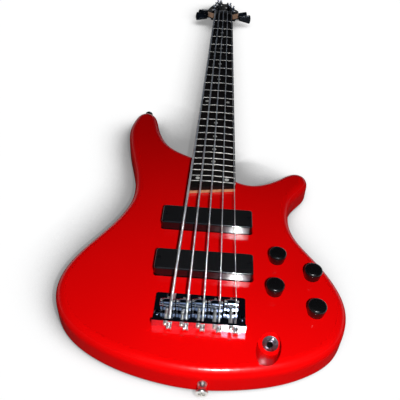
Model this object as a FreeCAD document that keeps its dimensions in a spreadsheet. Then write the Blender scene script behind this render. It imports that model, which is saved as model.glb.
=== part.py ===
"""Five-string electric bass guitar, as a parametric FreeCAD document.

Frame: millimetres, +X to the treble side, +Y to the headstock, +Z out of the front.
The origin lies on the centreline, at the end of the scale, on the flat back of the body.
Every driving size is a cell of the sheet, and each node is written to parts/NODE.step.
"""
import FreeCAD, Part
import math
import os
import re

Vector = FreeCAD.Vector
Placement = FreeCAD.Placement
Rotation = FreeCAD.Rotation

# Driving dimensions, in millimetres unless the name ends in deg
SIZES = {
    # Scale and strings
    "scale_length": 863.6,
    "string_gap_nut": 9.5,
    "string_gap_bridge": 18,
    "string_b_dia": 3.3,
    "string_e_dia": 2.67,
    "string_a_dia": 2.16,
    "string_d_dia": 1.65,
    "string_g_dia": 1.14,
    "string_height_nut": 1.8,
    "string_height_bridge": 5.6,
    "string_clearance": 0.3,
    "string_turn_gap": 0.6,
    "nut_bend_radius": 14,
    "ball_radius": 2.5,
    "ball_long": 5.6,
    "ball_height": 3.3,
    # Clearances and cuts
    "overrun": 5,
    "seat_gap": 0.05,
    "run_gap": 0.06,
    "screw_gap": 0.08,
    "pocket_gap": 0.1,
    "inlay_gap": 0.05,
    # Body
    "body_length": 504,
    "body_width": 344,
    "body_thick": 40,
    # Neck and its joint
    "pocket_depth": 18,
    "neck_rise": 5,
    "nut_width": 43.5,
    "nut_thick": 5,
    "nut_rise": 3,
    "heel_front": 297,
    "heel_cove": 22.5,
    "shaft_depth_heel": 19,
    "shaft_depth_nut": 15,
    "neck_screw_radius": 2.5,
    "neck_screw_reach": 14,
    "screw_head_radius": 4.4,
    "screw_head_high": 2.4,
    "ferrule_radius": 7,
    "ferrule_high": 4,
    # Fretboard
    "board_thick": 6,
    "board_radius": 400,
    "board_end": 203.75,
    "board_end_slant": 11.5,
    "board_end_width": 69,
    "fret_wide": 2.4,
    "fret_high": 1.2,
    "fret_inset": 0.5,
    "fret_seat": 0.1,
    "tang_wide": 0.6,
    "tang_deep": 1.8,
    "dot_radius": 3.2,
    "dot_deep": 1.6,
    # Truss rod
    "rod_radius": 3,
    "rod_drop": 5,
    "rod_start": 228,
    "rod_nut_radius": 3.6,
    "rod_nut_long": 9,
    "rod_reach": 12,
    "access_wide": 12,
    "access_long": 26,
    "access_deep": 9.5,
    "rod_cover_wide": 20,
    "rod_cover_long": 40,
    "rod_cover_thick": 1.6,
    "rod_cover_corner": 6,
    "rod_cover_start": 2,
    "rod_cover_margin": 1.25,
    "trim_screw_radius": 1.2,
    "trim_screw_long": 9,
    "trim_head_radius": 2.4,
    "trim_head_high": 1.2,
    # Headstock
    "head_width": 76,
    "head_length": 165,
    "head_thick": 11,
    "head_face_thick": 2,
    "head_tilt_deg": 12,
    "volute_long": 34,
    "volute_wide": 24,
    # Tuning machines
    "post_radius": 5,
    "post_high": 14,
    "post_cap_radius": 6.2,
    "post_cap_high": 2,
    "post_slot": 3,
    "post_slot_deep": 4,
    "wrap_height": 9.5,
    "gear_radius": 7.5,
    "gear_high": 4.6,
    "gear_room": 0.4,
    "mesh_gap": 0.3,
    "worm_radius": 2.4,
    "worm_long": 13,
    "worm_room": 0.35,
    "key_shaft_radius": 2,
    "key_reach": 19,
    "button_long": 27,
    "button_wide": 21,
    "button_neck": 9,
    "button_thick": 7,
    "button_round": 2.4,
    "collar_radius": 3.4,
    "collar_long": 2,
    "housing_wide": 20,
    "housing_high": 8,
    "housing_wall": 1.6,
    "housing_round": 2,
    "ear_long": 5.5,
    "ear_wide": 11,
    "ear_thick": 1.6,
    "bushing_radius": 8.5,
    "bushing_high": 1.5,
    "sleeve_radius": 7,
    "sleeve_deep": 7,
    # Pickups
    "hardware_offset": 4,
    "neck_pickup_y": 139,
    "bridge_pickup_y": 57.7,
    "pickup_offset": 3,
    "pickup_long": 120.5,
    "pickup_wide": 34,
    "pickup_high": 22,
    "pickup_rise": 13.3,
    "pickup_corner": 4,
    "pickup_edge": 2,
    "pickup_wall": 2.2,
    "pickup_end": 9,
    "pickup_gap": 1,
    "pickup_cavity_deep": 21,
    "coil_gap": 0.3,
    "pickup_screw_radius": 1.4,
    "pickup_screw_long": 40,
    "pickup_head_radius": 2.6,
    "pickup_head_high": 1.6,
    "pickup_head_sink": 0.4,
    "pickup_travel_room": 4,
    # Bridge
    "bridge_width": 104,
    "bridge_length": 46,
    "bridge_rear": 33,
    "plate_thick": 2.5,
    "plate_corner": 3,
    "upstand_high": 11.4,
    "upstand_thick": 3,
    "bridge_screw_radius": 2,
    "bridge_screw_long": 22,
    "bridge_head_radius": 3.4,
    "bridge_head_high": 2,
    "bridge_screw_front": 9,
    "bridge_screw_side": 48.2,
    "bridge_screw_back": 16,
    "saddle_offset": 4.8,
    "saddle_b_back": 9,
    "saddle_e_back": 8.5,
    "saddle_a_back": 6.9,
    "saddle_d_back": 6.6,
    "saddle_g_back": 4.2,
    "saddle_wide": 17,
    "saddle_radius": 5,
    "saddle_foot": 3.2,
    "height_screw_radius": 1.2,
    "height_screw_side": 7.1,
    "intonation_radius": 1.25,
    "intonation_height": 8.5,
    "intonation_head_radius": 2.4,
    "intonation_head_long": 4,
    "intonation_tip": 6,
    "spring_wire": 0.6,
    "spring_radius": 1.75,
    # Controls
    "knob_base_radius": 9.6,
    "knob_top_radius": 11,
    "knob_high": 15,
    "knob_round": 2.6,
    "knob_lift": 1,
    "knob_roof": 3,
    "knob_skirt_radius": 8,
    "pot_radius": 11,
    "pot_high": 9,
    "pot_floor": 2,
    "pot_bush_radius": 4.5,
    "pot_bush_rise": 3.6,
    "pot_shaft_radius": 3,
    "pot_nut_radius": 7,
    "pot_nut_high": 2.2,
    "control_corner": 8,
    "control_roof": 7,
    "cover_thick": 2,
    "cover_rim": 6,
    "cover_gap": 0.2,
    "battery_long": 46,
    "battery_wide": 26,
    "battery_high": 17,
    "battery_round": 2,
    "terminal_radius": 3.2,
    "terminal_long": 2,
    "board_pcb_long": 44,
    "board_pcb_wide": 24,
    "board_pcb_thick": 1.6,
    "chip_high": 3,
    "lead_radius": 1.6,
    "lead_bore": 2.1,
    "lead_height": 26,
    "lead_tail": 8,
    # Jack in its carved scoop
    "scoop_radius": 13.2,
    "scoop_tilt_deg": 36,
    "scoop_yaw_deg": 15,
    "jack_wall": 4.5,
    "jack_bush_radius": 4.7,
    "jack_bush_rise": 5,
    "jack_body_radius": 8,
    "jack_body_long": 22,
    "jack_body_room": 1,
    "jack_bore_radius": 3.2,
    "jack_bore_long": 25,
    "jack_nut_radius": 7.6,
    "jack_nut_high": 2.6,
    "jack_washer_radius": 9,
    "jack_washer_high": 0.8,
    # Strap buttons
    "strap_seat": 0.3,
    "strap_long": 13,
    "strap_base_radius": 5.4,
    "strap_waist_radius": 4.2,
    "strap_head_radius": 6.6,
    "strap_head_thick": 3.4,
    "strap_screw_radius": 1.9,
    "strap_screw_deep": 26,
    "strap_screw_head": 3.4,
    "strap_screw_sink": 2.6,
}

FRET_COUNT = 24
SINGLE_DOTS = (3, 5, 7, 9, 15, 17, 19, 21)
DOUBLE_DOTS = (12, 24)
DOUBLE_DOT_SHARE = 0.62
SPRING_CURLS = 8
QUARTERS = 4
BEND_MARKS = 40

# Points of the body's outline that carry the strap buttons, as shares of its width and its length
TAIL_SHARE = (0.012, -0.1715)
HORN_SHARE = (-0.352, 0.824)

# Outline of the body clockwise from its bass waist, so that its seam stays clear of every hole
BODY_SHARES = [
    (-0.326, 0.393), (-0.343, 0.486), (-0.378, 0.575), (-0.410, 0.665), (-0.419, 0.726),
    (-0.408, 0.782), (-0.390, 0.8115), HORN_SHARE, (-0.3155, 0.8125), (-0.2965, 0.786),
    (-0.282, 0.746), (-0.256, 0.692), (-0.204, 0.633), (-0.131, 0.595), (-0.029, 0.556),
    (0.064, 0.500), (0.110, 0.476), (0.169, 0.464), (0.233, 0.476), (0.291, 0.502), (0.334, 0.524),
    (0.374, 0.531), (0.408, 0.519), (0.418, 0.488), (0.387, 0.448), (0.343, 0.404), (0.322, 0.351),
    (0.3205, 0.300), (0.340, 0.250), (0.378, 0.204), (0.422, 0.157), (0.465, 0.097), (0.486, 0.030),
    (0.471, -0.028), (0.432, -0.077), (0.360, -0.116), (0.262, -0.1455), (0.131, -0.165),
    TAIL_SHARE, (-0.174, -0.156), (-0.349, -0.113), (-0.465, -0.050), (-0.515, 0.036),
    (-0.488, 0.129), (-0.422, 0.212), (-0.346, 0.318),
]

# Heights of the strap buttons, as shares of the body's thickness
TAIL_HEIGHT_SHARE = 0.55
HORN_HEIGHT_SHARE = 0.62

# Roundings of the body's edges, as shares of its outline's tightest bend
TOP_ROUND_SHARE = 0.87
BACK_ROUND_SHARE = 0.66

# Places and sizes of what the body carries by the tail, as shares of its width and its length
KNOB_SHARES = {
    "front": (0.256, 0.157),
    "rear": (0.240, 0.0555),
    "outer_front": (0.378, 0.110),
    "outer_rear": (0.3745, 0.002),
}
CONTROL_CORNER_SHARE = (0.192, -0.0475)
CONTROL_SPAN_SHARE = (0.244, 0.238)
BATTERY_SHARE = (0.244, 0.0615)
PREAMP_SHARE = (0.215, 0.0795)
SCOOP_SHARE = (0.2115, -0.102)

# Outline of the headstock from the nut's bass end, as shares of its width and its length
HEAD_SHARES = [
    (-0.322, 0.060), (-0.447, 0.145), (-0.500, 0.242), (-0.487, 0.376), (-0.447, 0.545),
    (-0.388, 0.715), (-0.316, 0.861), (-0.197, 0.958), (-0.085, 0.994), (0.010, 0.975),
    (0.095, 0.988), (0.165, 0.950), (0.204, 0.848), (0.224, 0.715), (0.276, 0.582),
    (0.382, 0.461), (0.460, 0.352), (0.487, 0.242), (0.434, 0.145), (0.322, 0.060),
]

# Outline of the control cavity, as shares of its width and its length
CONTROL_SHARES = [(0, 0), (0.93, 0), (0.98, 0.36), (0.94, 0.68), (0.58, 1), (0, 1)]

# Neck screws, as shares of the heel's half width and of its length in the pocket
NECK_SCREW_SHARES = [(-0.64, 0.22), (0.58, 0.22), (-0.68, 0.73), (0.08, 0.50)]

# Strings from bass to treble: place across the bridge, post as shares of the headstock's width
# and length, turns on the post, and the button's angle at rest in degrees
STRINGS = {
    "b": {"step": -2, "post_share": (-0.270, 0.230), "turns": 1.5, "button_deg": 55},
    "e": {"step": -1, "post_share": (-0.217, 0.485), "turns": 1.75, "button_deg": 70},
    "a": {"step": 0, "post_share": (-0.158, 0.740), "turns": 2, "button_deg": 4},
    "d": {"step": 1, "post_share": (0.170, 0.510), "turns": 2.5, "button_deg": 62},
    "g": {"step": 2, "post_share": (0.270, 0.218), "turns": 3, "button_deg": 86},
}

DOC = FreeCAD.newDocument("bass_guitar")
SHEET = DOC.addObject("Spreadsheet::Sheet", "Sizes")
NODES = {}


def fill_sheet():
    """Write each driving dimension into its own cell, with its name as the alias."""
    for row, (name, number) in enumerate(SIZES.items(), start=1):
        SHEET.set(f"A{row}", name)
        SHEET.set(f"B{row}", str(number))
        SHEET.setAlias(f"B{row}", name)
    DOC.recompute()


def size(name):
    """Read a driving dimension back from the sheet."""
    return float(SHEET.get(name))


def bind(thing, prop, text):
    """Bind a property to an expression, in which the sheet's names stand bare."""
    def sheet_name(word):
        return f"Sizes.{word.group()}" if word.group() in SIZES else word.group()
    thing.setExpression(prop, re.sub(r"[a-z_]+", sheet_name, text))


def place(thing, x, y, z, rotation=None):
    """Bind the three coordinates of a thing's place, after turning it."""
    thing.Placement = Placement(Vector(), rotation or Rotation())
    for axis, text in zip("xyz", (x, y, z)):
        bind(thing, f"Placement.Base.{axis}", text)
    return thing


def box(name, long, wide, high, x="0", y="0", z="0"):
    """A box centred on x and y, with its underside at z."""
    thing = DOC.addObject("Part::Box", name)
    bind(thing, "Length", long)
    bind(thing, "Width", wide)
    bind(thing, "Height", high)
    return place(thing, f"{x} - ({long}) / 2", f"{y} - ({wide}) / 2", z)


ALONG = {
    "x": Rotation(Vector(0, 1, 0), 90),
    "y": Rotation(Vector(1, 0, 0), -90),
    "z": Rotation(),
}


def rod(name, radius, long, x="0", y="0", z="0", along="z"):
    """A round rod that starts at a point and runs along an axis."""
    thing = DOC.addObject("Part::Cylinder", name)
    bind(thing, "Radius", radius)
    bind(thing, "Height", long)
    return place(thing, x, y, z, ALONG[along])


def cone(name, low_radius, high_radius, long, x="0", y="0", z="0"):
    """A round taper that starts at a point."""
    thing = DOC.addObject("Part::Cone", name)
    bind(thing, "Radius1", low_radius)
    bind(thing, "Radius2", high_radius)
    bind(thing, "Height", long)
    return place(thing, x, y, z)


def fuse(name, *things):
    """Join things into one."""
    joined = DOC.addObject("Part::MultiFuse", name)
    joined.Shapes = list(things)
    joined.Refine = False
    return joined


def group(name, *things):
    """Keep things as separate solids of one object."""
    together = DOC.addObject("Part::Compound", name)
    together.Links = list(things)
    return together


def cut(name, base, *tools):
    """Take tools away from a base."""
    rest = DOC.addObject("Part::Cut", name)
    rest.Base = base
    rest.Tool = tools[0] if len(tools) == 1 else fuse(f"{name}_tools", *tools)
    rest.Refine = False
    return rest


def common(name, *things):
    """Keep what things share."""
    shared = DOC.addObject("Part::MultiCommon", name)
    shared.Shapes = list(things)
    return shared


def feature(name, shape, placement=None):
    """An object whose shape is worked out in code from the sheet's sizes."""
    thing = DOC.addObject("Part::Feature", name)
    thing.Shape = shape
    if placement:
        thing.Placement = placement
    return thing


def rounded(name, base, radius, wanted):
    """Round the edges of a base that a test picks out."""
    DOC.recompute()
    amount = size(radius)
    edges = enumerate(base.Shape.Edges, start=1)
    thing = DOC.addObject("Part::Fillet", name)
    thing.Base = base
    thing.Edges = [(number, amount, amount) for number, edge in edges if wanted(edge)]
    return thing


def runs_along(direction):
    """A test for straight edges that run along a direction."""
    def wanted(edge):
        straight = isinstance(edge.Curve, Part.Line)
        return straight and abs(edge.tangentAt(edge.FirstParameter).dot(direction)) > STRAIGHT_SHARE
    return wanted


STRAIGHT_SHARE = 0.999


def lies_at(height, tolerance):
    """A test for edges that lie flat at a height."""
    def wanted(edge):
        bounds = edge.BoundBox
        return abs(bounds.ZMin - height) < tolerance and abs(bounds.ZMax - height) < tolerance
    return wanted


def node(label, thing):
    """Name an object as a node that is written to a file of its own."""
    thing.Label = label
    NODES[label] = thing
    return thing


fill_sheet()

# Levels and places that several pieces share
BODY_TOP = "body_thick"
NECK_TOP = "body_thick + neck_rise"
BOARD_TOP = "body_thick + neck_rise + board_thick"
POCKET_FLOOR = "body_thick - pocket_depth"
PLATE_TOP = "body_thick + plate_thick"
BRIDGE_X = "-hardware_offset"
PICKUP_X = "-pickup_offset"
HEAD_START = "scale_length + nut_thick"

BODY_TOP_Z = size("body_thick")
NECK_TOP_Z = BODY_TOP_Z + size("neck_rise")
BOARD_TOP_Z = NECK_TOP_Z + size("board_thick")
NUT_Y = size("scale_length")
NUT_BACK_Y = NUT_Y + size("nut_thick")
OVERRUN = size("overrun")
HEAD = Placement(Vector(0, NUT_BACK_Y, NECK_TOP_Z), Rotation(Vector(1, 0, 0), -size("head_tilt_deg")))


def on_body(share):
    """A place on the body in plan, from its shares of the body's width and length."""
    x, y = share
    return x * size("body_width"), y * size("body_length")


def on_body_text(share):
    """The same place as two expressions."""
    x, y = share
    return f"{x} * body_width", f"{y} * body_length"


def half_width(y):
    """Half the fretboard's width at a place along the neck."""
    taper = (size("board_end_width") - size("nut_width")) / 2
    return size("nut_width") / 2 + taper * (NUT_Y - y) / (NUT_Y - size("board_end"))


def fret_y(number):
    """Place of a fret along the scale; number 0 is the nut."""
    return NUT_Y * 2 ** (-number / 12)


def neck_plan(front, gap=0):
    """Corners of the tapered neck in plan, from its slanted end to a front line."""
    bass_end = size("board_end") - size("board_end_slant") / 2 - gap
    treble_end = size("board_end") + size("board_end_slant") / 2 - gap
    return [
        (-half_width(bass_end) - gap, bass_end),
        (half_width(treble_end) + gap, treble_end),
        (half_width(front) + gap, front),
        (-half_width(front) - gap, front),
    ]


def prism(points, low, high):
    """A straight-sided solid over plan points, between two heights."""
    corners = [Vector(x, y, low) for x, y in points]
    outline = Part.makePolygon(corners + corners[:1])
    return Part.Face(outline).extrude(Vector(0, 0, high - low))


def closed_curve(points):
    """A smooth closed outline through plan points."""
    curve = Part.BSplineCurve()
    curve.interpolate(Points=[Vector(x, y, 0) for x, y in points], PeriodicFlag=True)
    return curve


def origin_plane(body, role):
    """The plane of a body's own origin that has a role, such as XY_Plane."""
    return next(item for item in body.Origin.OriginFeatures if item.Role == role)


def padded_body(name, curves, height):
    """A PartDesign body padded from a sketch of closed curves on its own XY plane."""
    body = DOC.addObject("PartDesign::Body", name)
    sketch = body.newObject("Sketcher::SketchObject", f"{name}_sketch")
    sketch.AttachmentSupport = [(origin_plane(body, "XY_Plane"), "")]
    sketch.MapMode = "FlatFace"
    for curve in curves:
        sketch.addGeometry(curve, False)
    pad = body.newObject("PartDesign::Pad", f"{name}_pad")
    pad.Profile = sketch
    bind(pad, "Length", height)
    DOC.recompute()
    return body, pad


def tightest_bend(curve):
    """The least radius along a closed curve, from its curvature at marks between its points."""
    steps = len(BODY_SHARES) * BEND_MARKS
    stride = (curve.LastParameter - curve.FirstParameter) / steps
    marks = [curve.FirstParameter + stride * index for index in range(steps)]
    return 1 / max(curve.curvature(mark) for mark in marks)


def edge_fillet(body, base, name, height, radius):
    """Round a PartDesign body's outer edges at a height."""
    wanted = lies_at(height, size("seat_gap"))
    edges = [f"Edge{n}" for n, edge in enumerate(base.Shape.Edges, start=1) if wanted(edge)]
    fillet = body.newObject("PartDesign::Fillet", name)
    fillet.Base = (base, edges)
    fillet.Radius = radius
    DOC.recompute()
    return fillet


def biarc(start, start_way, end, end_way):
    """Two tangent arcs from a point and direction to another."""
    reach = end - start
    ways = start_way + end_way
    square = 2 * (1 - start_way.dot(end_way))
    half = reach.dot(ways)
    if abs(square) < 1 - STRAIGHT_SHARE ** 2:
        step = reach.dot(reach) / (2 * half)
    else:
        step = (-half + math.sqrt(half * half + square * reach.dot(reach))) / square
    middle = (start + end + (start_way - end_way) * step) / 2
    return [tangent_arc(start, start_way, middle), tangent_arc(end, -end_way, middle, turned=True)]


def tangent_arc(start, way, end, turned=False):
    """The arc that leaves a point along a direction and ends at another point."""
    chord = end - start
    across = chord - way * chord.dot(way)
    side = across.normalize()
    radius = chord.dot(chord) / (2 * chord.dot(side))
    centre = start + side * radius
    bulge = ((start - centre) + (end - centre)).normalize() * radius
    first, last = (end, start) if turned else (start, end)
    return Part.Arc(first, centre + bulge, last).toShape()


def tube(edges, radius):
    """A round tube along joined edges, with its volume compared with section times length."""
    path = Part.Wire(edges)
    start = path.Edges[0].Vertexes[0].Point
    way = path.Edges[0].tangentAt(path.Edges[0].FirstParameter)
    ring = Part.Wire(Part.Circle(start, way, radius).toShape())
    solid = path.makePipeShell([ring], True, False)
    expected = math.pi * radius ** 2 * path.Length
    print(f"tube volume share {solid.Volume / expected:.4f}")
    return solid


def least_gap(edges, dia, loop_length):
    """The least gap between the turns of a winding, measured on points along it."""
    steps = QUARTERS * 2
    marks = []
    travelled = 0
    for edge in edges:
        spots = edge.discretize(steps + 1)[:-1]
        for index, spot in enumerate(spots):
            marks.append((travelled + edge.Length * index / steps, spot))
        travelled += edge.Length
    gaps = [
        (spot - other).Length - dia
        for index, (here, spot) in enumerate(marks)
        for there, other in marks[index + 1:]
        if there - here > loop_length / 2
    ]
    return min(gaps)


def helix_biarcs(point_at, way_at, turns, first_way=None):
    """Biarcs of a quarter turn each along a winding given by its points and directions."""
    count = round(turns * QUARTERS)
    edges = []
    for index in range(count):
        before = index / QUARTERS
        after = (index + 1) / QUARTERS
        start_way = first_way if index == 0 and first_way else way_at(before)
        edges += biarc(point_at(before), start_way, point_at(after), way_at(after))
    return edges


# Body: one padded and rounded blank, cut for everything that it carries
def body_blank():
    """The solid wooden blank with its rounded edges."""
    outline = closed_curve([on_body(share) for share in BODY_SHARES])
    bend = tightest_bend(outline)
    print(f"body outline's tightest bend {bend:.2f} mm")
    body, pad = padded_body("body_blank", [outline], "body_thick")
    top = edge_fillet(body, pad, "body_top_round", BODY_TOP_Z, TOP_ROUND_SHARE * bend)
    edge_fillet(body, top, "body_back_round", 0, BACK_ROUND_SHARE * bend)
    return body


def control_outline(margin):
    """The rounded outline of the control cavity, grown by a margin."""
    left, rear = on_body(CONTROL_CORNER_SHARE)
    wide, long = on_body(CONTROL_SPAN_SHARE)
    corners = [Vector(left + x * wide, rear + y * long, 0) for x, y in CONTROL_SHARES]
    plain = Part.makePolygon(corners + corners[:1])
    inner = plain.makeOffset2D(-size("control_corner"))
    return inner.makeOffset2D(size("control_corner") + margin)


def control_block(margin, low, high):
    """A block over the control cavity's outline between two heights."""
    face = Part.Face(control_outline(margin))
    face.translate(Vector(0, 0, low))
    return face.extrude(Vector(0, 0, high - low))


def cover_screw_places():
    """Places of the control cover's screws, halfway across its rim, at the middle of each side."""
    rim = control_outline(size("cover_rim") / 2)
    sides = [edge for edge in rim.Edges if isinstance(edge.Curve, Part.Line)]
    return [edge.CenterOfMass for edge in sides]


def neck_screw_places():
    """Places of the neck screws within the heel."""
    start = size("board_end")
    reach = size("heel_front") - start
    half = size("board_end_width") / 2
    return [(x * half, start + y * reach) for x, y in NECK_SCREW_SHARES]


def bridge_screw_places():
    """Places of the bridge's mounting screws: a front row of three and one at each end."""
    row = "string_gap_bridge * 2"
    front = "bridge_screw_front"
    back = "-bridge_screw_back"
    return [
        (f"{BRIDGE_X} - {row}", front),
        (BRIDGE_X, front),
        (f"{BRIDGE_X} + {row}", front),
        (f"{BRIDGE_X} - bridge_screw_side", back),
        (f"{BRIDGE_X} + bridge_screw_side", back),
    ]


def jack_frame():
    """The scoop's frame: its floor's centre, with +Z along the plug's way out."""
    tilt = math.radians(size("scoop_tilt_deg"))
    yaw = math.radians(size("scoop_yaw_deg"))
    way = Vector(
        -math.sin(yaw) * math.cos(tilt),
        -math.cos(yaw) * math.cos(tilt),
        math.sin(tilt),
    )
    mouth = Vector(*on_body(SCOOP_SHARE), BODY_TOP_Z)
    floor = mouth - way * (size("scoop_radius") / math.tan(tilt))
    return Placement(floor, Rotation(Vector(0, 0, 1), way))


def pickup_screw_side():
    """Distance of a pickup's height screws from its middle, as an expression."""
    return "(pickup_long - pickup_end) / 2"


def lead_route(pickup_y, end_x, end_y):
    """Start and end of a pickup lead, from the pickup's end wall into the control cavity."""
    start_x = size("pickup_long") / 2 - size("pickup_offset") + size("coil_gap")
    start = Vector(start_x, size(pickup_y), size("lead_height"))
    return start, Vector(end_x, end_y, size("lead_height"))


def lead_routes():
    """Routes of both pickups' leads."""
    left, rear = on_body(CONTROL_CORNER_SHARE)
    _, long = on_body(CONTROL_SPAN_SHARE)
    inside = left + size("lead_tail")
    return [
        lead_route("neck_pickup_y", inside, rear + long - size("lead_tail") / 2),
        lead_route("bridge_pickup_y", inside, size("bridge_pickup_y")),
    ]


def strap_places():
    """Where the strap buttons stand on the body's edge, and the way they point."""
    spots = []
    ends = (
        (TAIL_SHARE, TAIL_HEIGHT_SHARE, Vector(0, -1, 0)),
        (HORN_SHARE, HORN_HEIGHT_SHARE, Vector(0, 1, 0)),
    )
    for share, height, way in ends:
        edge = Vector(*on_body(share), height * BODY_TOP_Z)
        spots.append((edge + way * size("strap_seat"), way))
    return spots


def straight_tube(start, end, radius):
    """A round rod between two points."""
    return Part.makeCylinder(radius, (end - start).Length, start, end - start)


def body_cuts():
    """Everything that is taken out of the body's blank."""
    gap = size("pocket_gap")
    pocket_front = size("heel_front") + size("heel_cove") + OVERRUN * 2
    pocket_floor = BODY_TOP_Z - size("pocket_depth")
    pocket = prism(neck_plan(pocket_front, gap), pocket_floor, BODY_TOP_Z + OVERRUN)
    cuts = [feature("neck_pocket", pocket)]
    for place_name in ("neck_pickup", "bridge_pickup"):
        hole = box(
            f"{place_name}_hole",
            "pickup_long + 2 * pickup_gap",
            "pickup_wide + 2 * pickup_gap",
            "pickup_cavity_deep + overrun",
            PICKUP_X,
            f"{place_name}_y",
            "body_thick - pickup_cavity_deep",
        )
        cuts.append(rounded(f"{place_name}_cavity", hole, "pickup_corner", runs_along(Vector(0, 0, 1))))
        for side in ("-", "+"):
            cuts.append(rod(
                f"{place_name}_pilot",
                "pickup_screw_radius + screw_gap",
                "pickup_screw_long",
                f"{PICKUP_X} {side} {pickup_screw_side()}",
                f"{place_name}_y",
                "body_thick + pickup_rise - pickup_screw_long - pickup_travel_room",
            ))
    ceiling = BODY_TOP_Z - size("control_roof")
    cuts.append(feature("control_cavity", control_block(0, -OVERRUN, ceiling)))
    cuts.append(feature("cover_recess", control_block(size("cover_rim"), -OVERRUN, size("cover_thick"))))
    for knob in KNOB_SHARES:
        cuts.append(rod(
            f"{knob}_pot_hole",
            "pot_bush_radius + screw_gap",
            "body_thick",
            *on_body_text(KNOB_SHARES[knob]),
            "control_roof",
        ))
    fit = size("screw_gap")
    pilot_deep = size("trim_screw_long") + size("trim_head_high")
    for spot in cover_screw_places():
        pilot = Part.makeCylinder(size("trim_screw_radius") + fit, pilot_deep, spot)
        cuts.append(feature("cover_screw_hole", pilot))
    for x, y in neck_screw_places():
        spot = Vector(x, y, 0)
        hole = Part.makeCylinder(size("neck_screw_radius") + fit, BODY_TOP_Z, spot)
        sink = Part.makeCylinder(size("ferrule_radius") + fit, size("ferrule_high"), spot)
        cuts += [feature("neck_screw_hole", hole), feature("ferrule_hole", sink)]
    for x, y in bridge_screw_places():
        cuts.append(rod(
            "bridge_screw_hole",
            "bridge_screw_radius + screw_gap",
            "bridge_screw_long",
            x,
            y,
            f"{PLATE_TOP} - bridge_screw_long",
        ))
    for start, end in lead_routes():
        cuts.append(feature("lead_hole", straight_tube(start, end, size("lead_bore"))))
    radius = size("strap_screw_radius") + size("screw_gap")
    deep = size("strap_screw_deep")
    for spot, way in strap_places():
        hole = Part.makeCylinder(radius, deep + OVERRUN, spot - way * deep, way)
        cuts.append(feature("strap_screw_hole", hole))
    return cuts + jack_cuts()


def jack_cuts():
    """The carved scoop, the socket's hole through its floor and the room behind it."""
    scoop = rod("scoop", "scoop_radius", "body_thick + overrun")
    hole = rod("socket_hole", "jack_bush_radius + screw_gap", "jack_wall + overrun", z="-jack_wall")
    room = rod(
        "socket_room", "jack_body_radius + jack_body_room", "jack_body_long + jack_body_room",
        z="-jack_wall - jack_body_long - jack_body_room",
    )
    tools = fuse("jack_cuts", scoop, hole, room)
    tools.Placement = jack_frame()
    return [tools]


def make_body():
    """The finished body."""
    node("body", cut("body_cut", body_blank(), *body_cuts()))


# Neck, headstock and what is glued to them
def shaft_section(y, depth):
    """A D-shaped section of the neck, flat on top, with a half-ellipse below."""
    half = half_width(y)
    middle = Vector(0, y, NECK_TOP_Z)
    ellipse = Part.Ellipse(middle + Vector(half, 0, 0), middle - Vector(0, 0, depth), middle)
    below = Part.ArcOfEllipse(ellipse, 0, math.pi).toShape()
    top = Part.makeLine(below.Vertexes[1].Point, below.Vertexes[0].Point)
    return Part.Wire([below, top])


def volute_section():
    """The D-shaped end of the neck's shaft inside the headstock."""
    half = size("volute_wide") / 2
    depth = size("head_thick")
    middle = Vector(0, size("volute_long"), 0)
    ellipse = Part.Ellipse(middle + Vector(half, 0, 0), middle - Vector(0, 0, depth), middle)
    below = Part.ArcOfEllipse(ellipse, 0, math.pi).toShape()
    top = Part.makeLine(below.Vertexes[1].Point, below.Vertexes[0].Point)
    return Part.Wire([below, top]).transformed(HEAD.Matrix)


def head_outline():
    """The headstock's outline in its own plane: a straight nut end and one smooth curve."""
    half = size("nut_width") / 2
    points = [(x * size("head_width"), y * size("head_length")) for x, y in HEAD_SHARES]
    points = [(-half, 0)] + points + [(half, 0)]
    curve = Part.BSplineCurve()
    curve.interpolate(Points=[Vector(x, y, 0) for x, y in points])
    end = Part.LineSegment(Vector(half, 0, 0), Vector(-half, 0, 0))
    return [curve, end]


def post_place(name):
    """Place of a string's post in the headstock's plane."""
    x, y = STRINGS[name]["post_share"]
    return x * size("head_width"), y * size("head_length")


def post_holes(low, high):
    """Holes for the five posts' sleeves, in the headstock's frame."""
    radius = size("sleeve_radius") + size("screw_gap")
    return [
        Part.makeCylinder(radius, high - low, Vector(*post_place(name), low))
        for name in STRINGS
    ]


def head_slab(name, thick, z):
    """A plate with the headstock's outline and post holes, in the headstock's frame."""
    body, pad = padded_body(name, head_outline(), thick)
    body.Placement = HEAD.multiply(Placement(Vector(0, 0, z), Rotation()))
    return body


def in_head(name, shape):
    """A feature modelled in the headstock's frame."""
    return feature(name, shape, HEAD)


def access_cut():
    """The slot in the headstock where the truss rod's nut is reached, in the part's frame."""
    return box(
        "access_slot", "access_wide", "access_long", "access_deep + board_thick",
        "0", f"{HEAD_START} + access_long / 2", f"{NECK_TOP} - access_deep",
    )


def ear_screw_places(name):
    """Places of a tuning machine's two screws in the headstock's plane."""
    x, y = post_place(name)
    low, high = housing_reach()
    half = size("ear_long") / 2
    return [(x, y + low - half), (x, y + high + half)]


def housing_reach():
    """How far a housing reaches towards the nut and the tip from its post."""
    low = -size("gear_radius") - size("gear_room") - size("housing_wall")
    high = worm_offset() + size("worm_radius") + size("worm_room") + size("housing_wall")
    return low, high


def worm_offset():
    """Distance of a worm's axis from its post's axis."""
    return size("gear_radius") + size("mesh_gap") + size("worm_radius")


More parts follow.
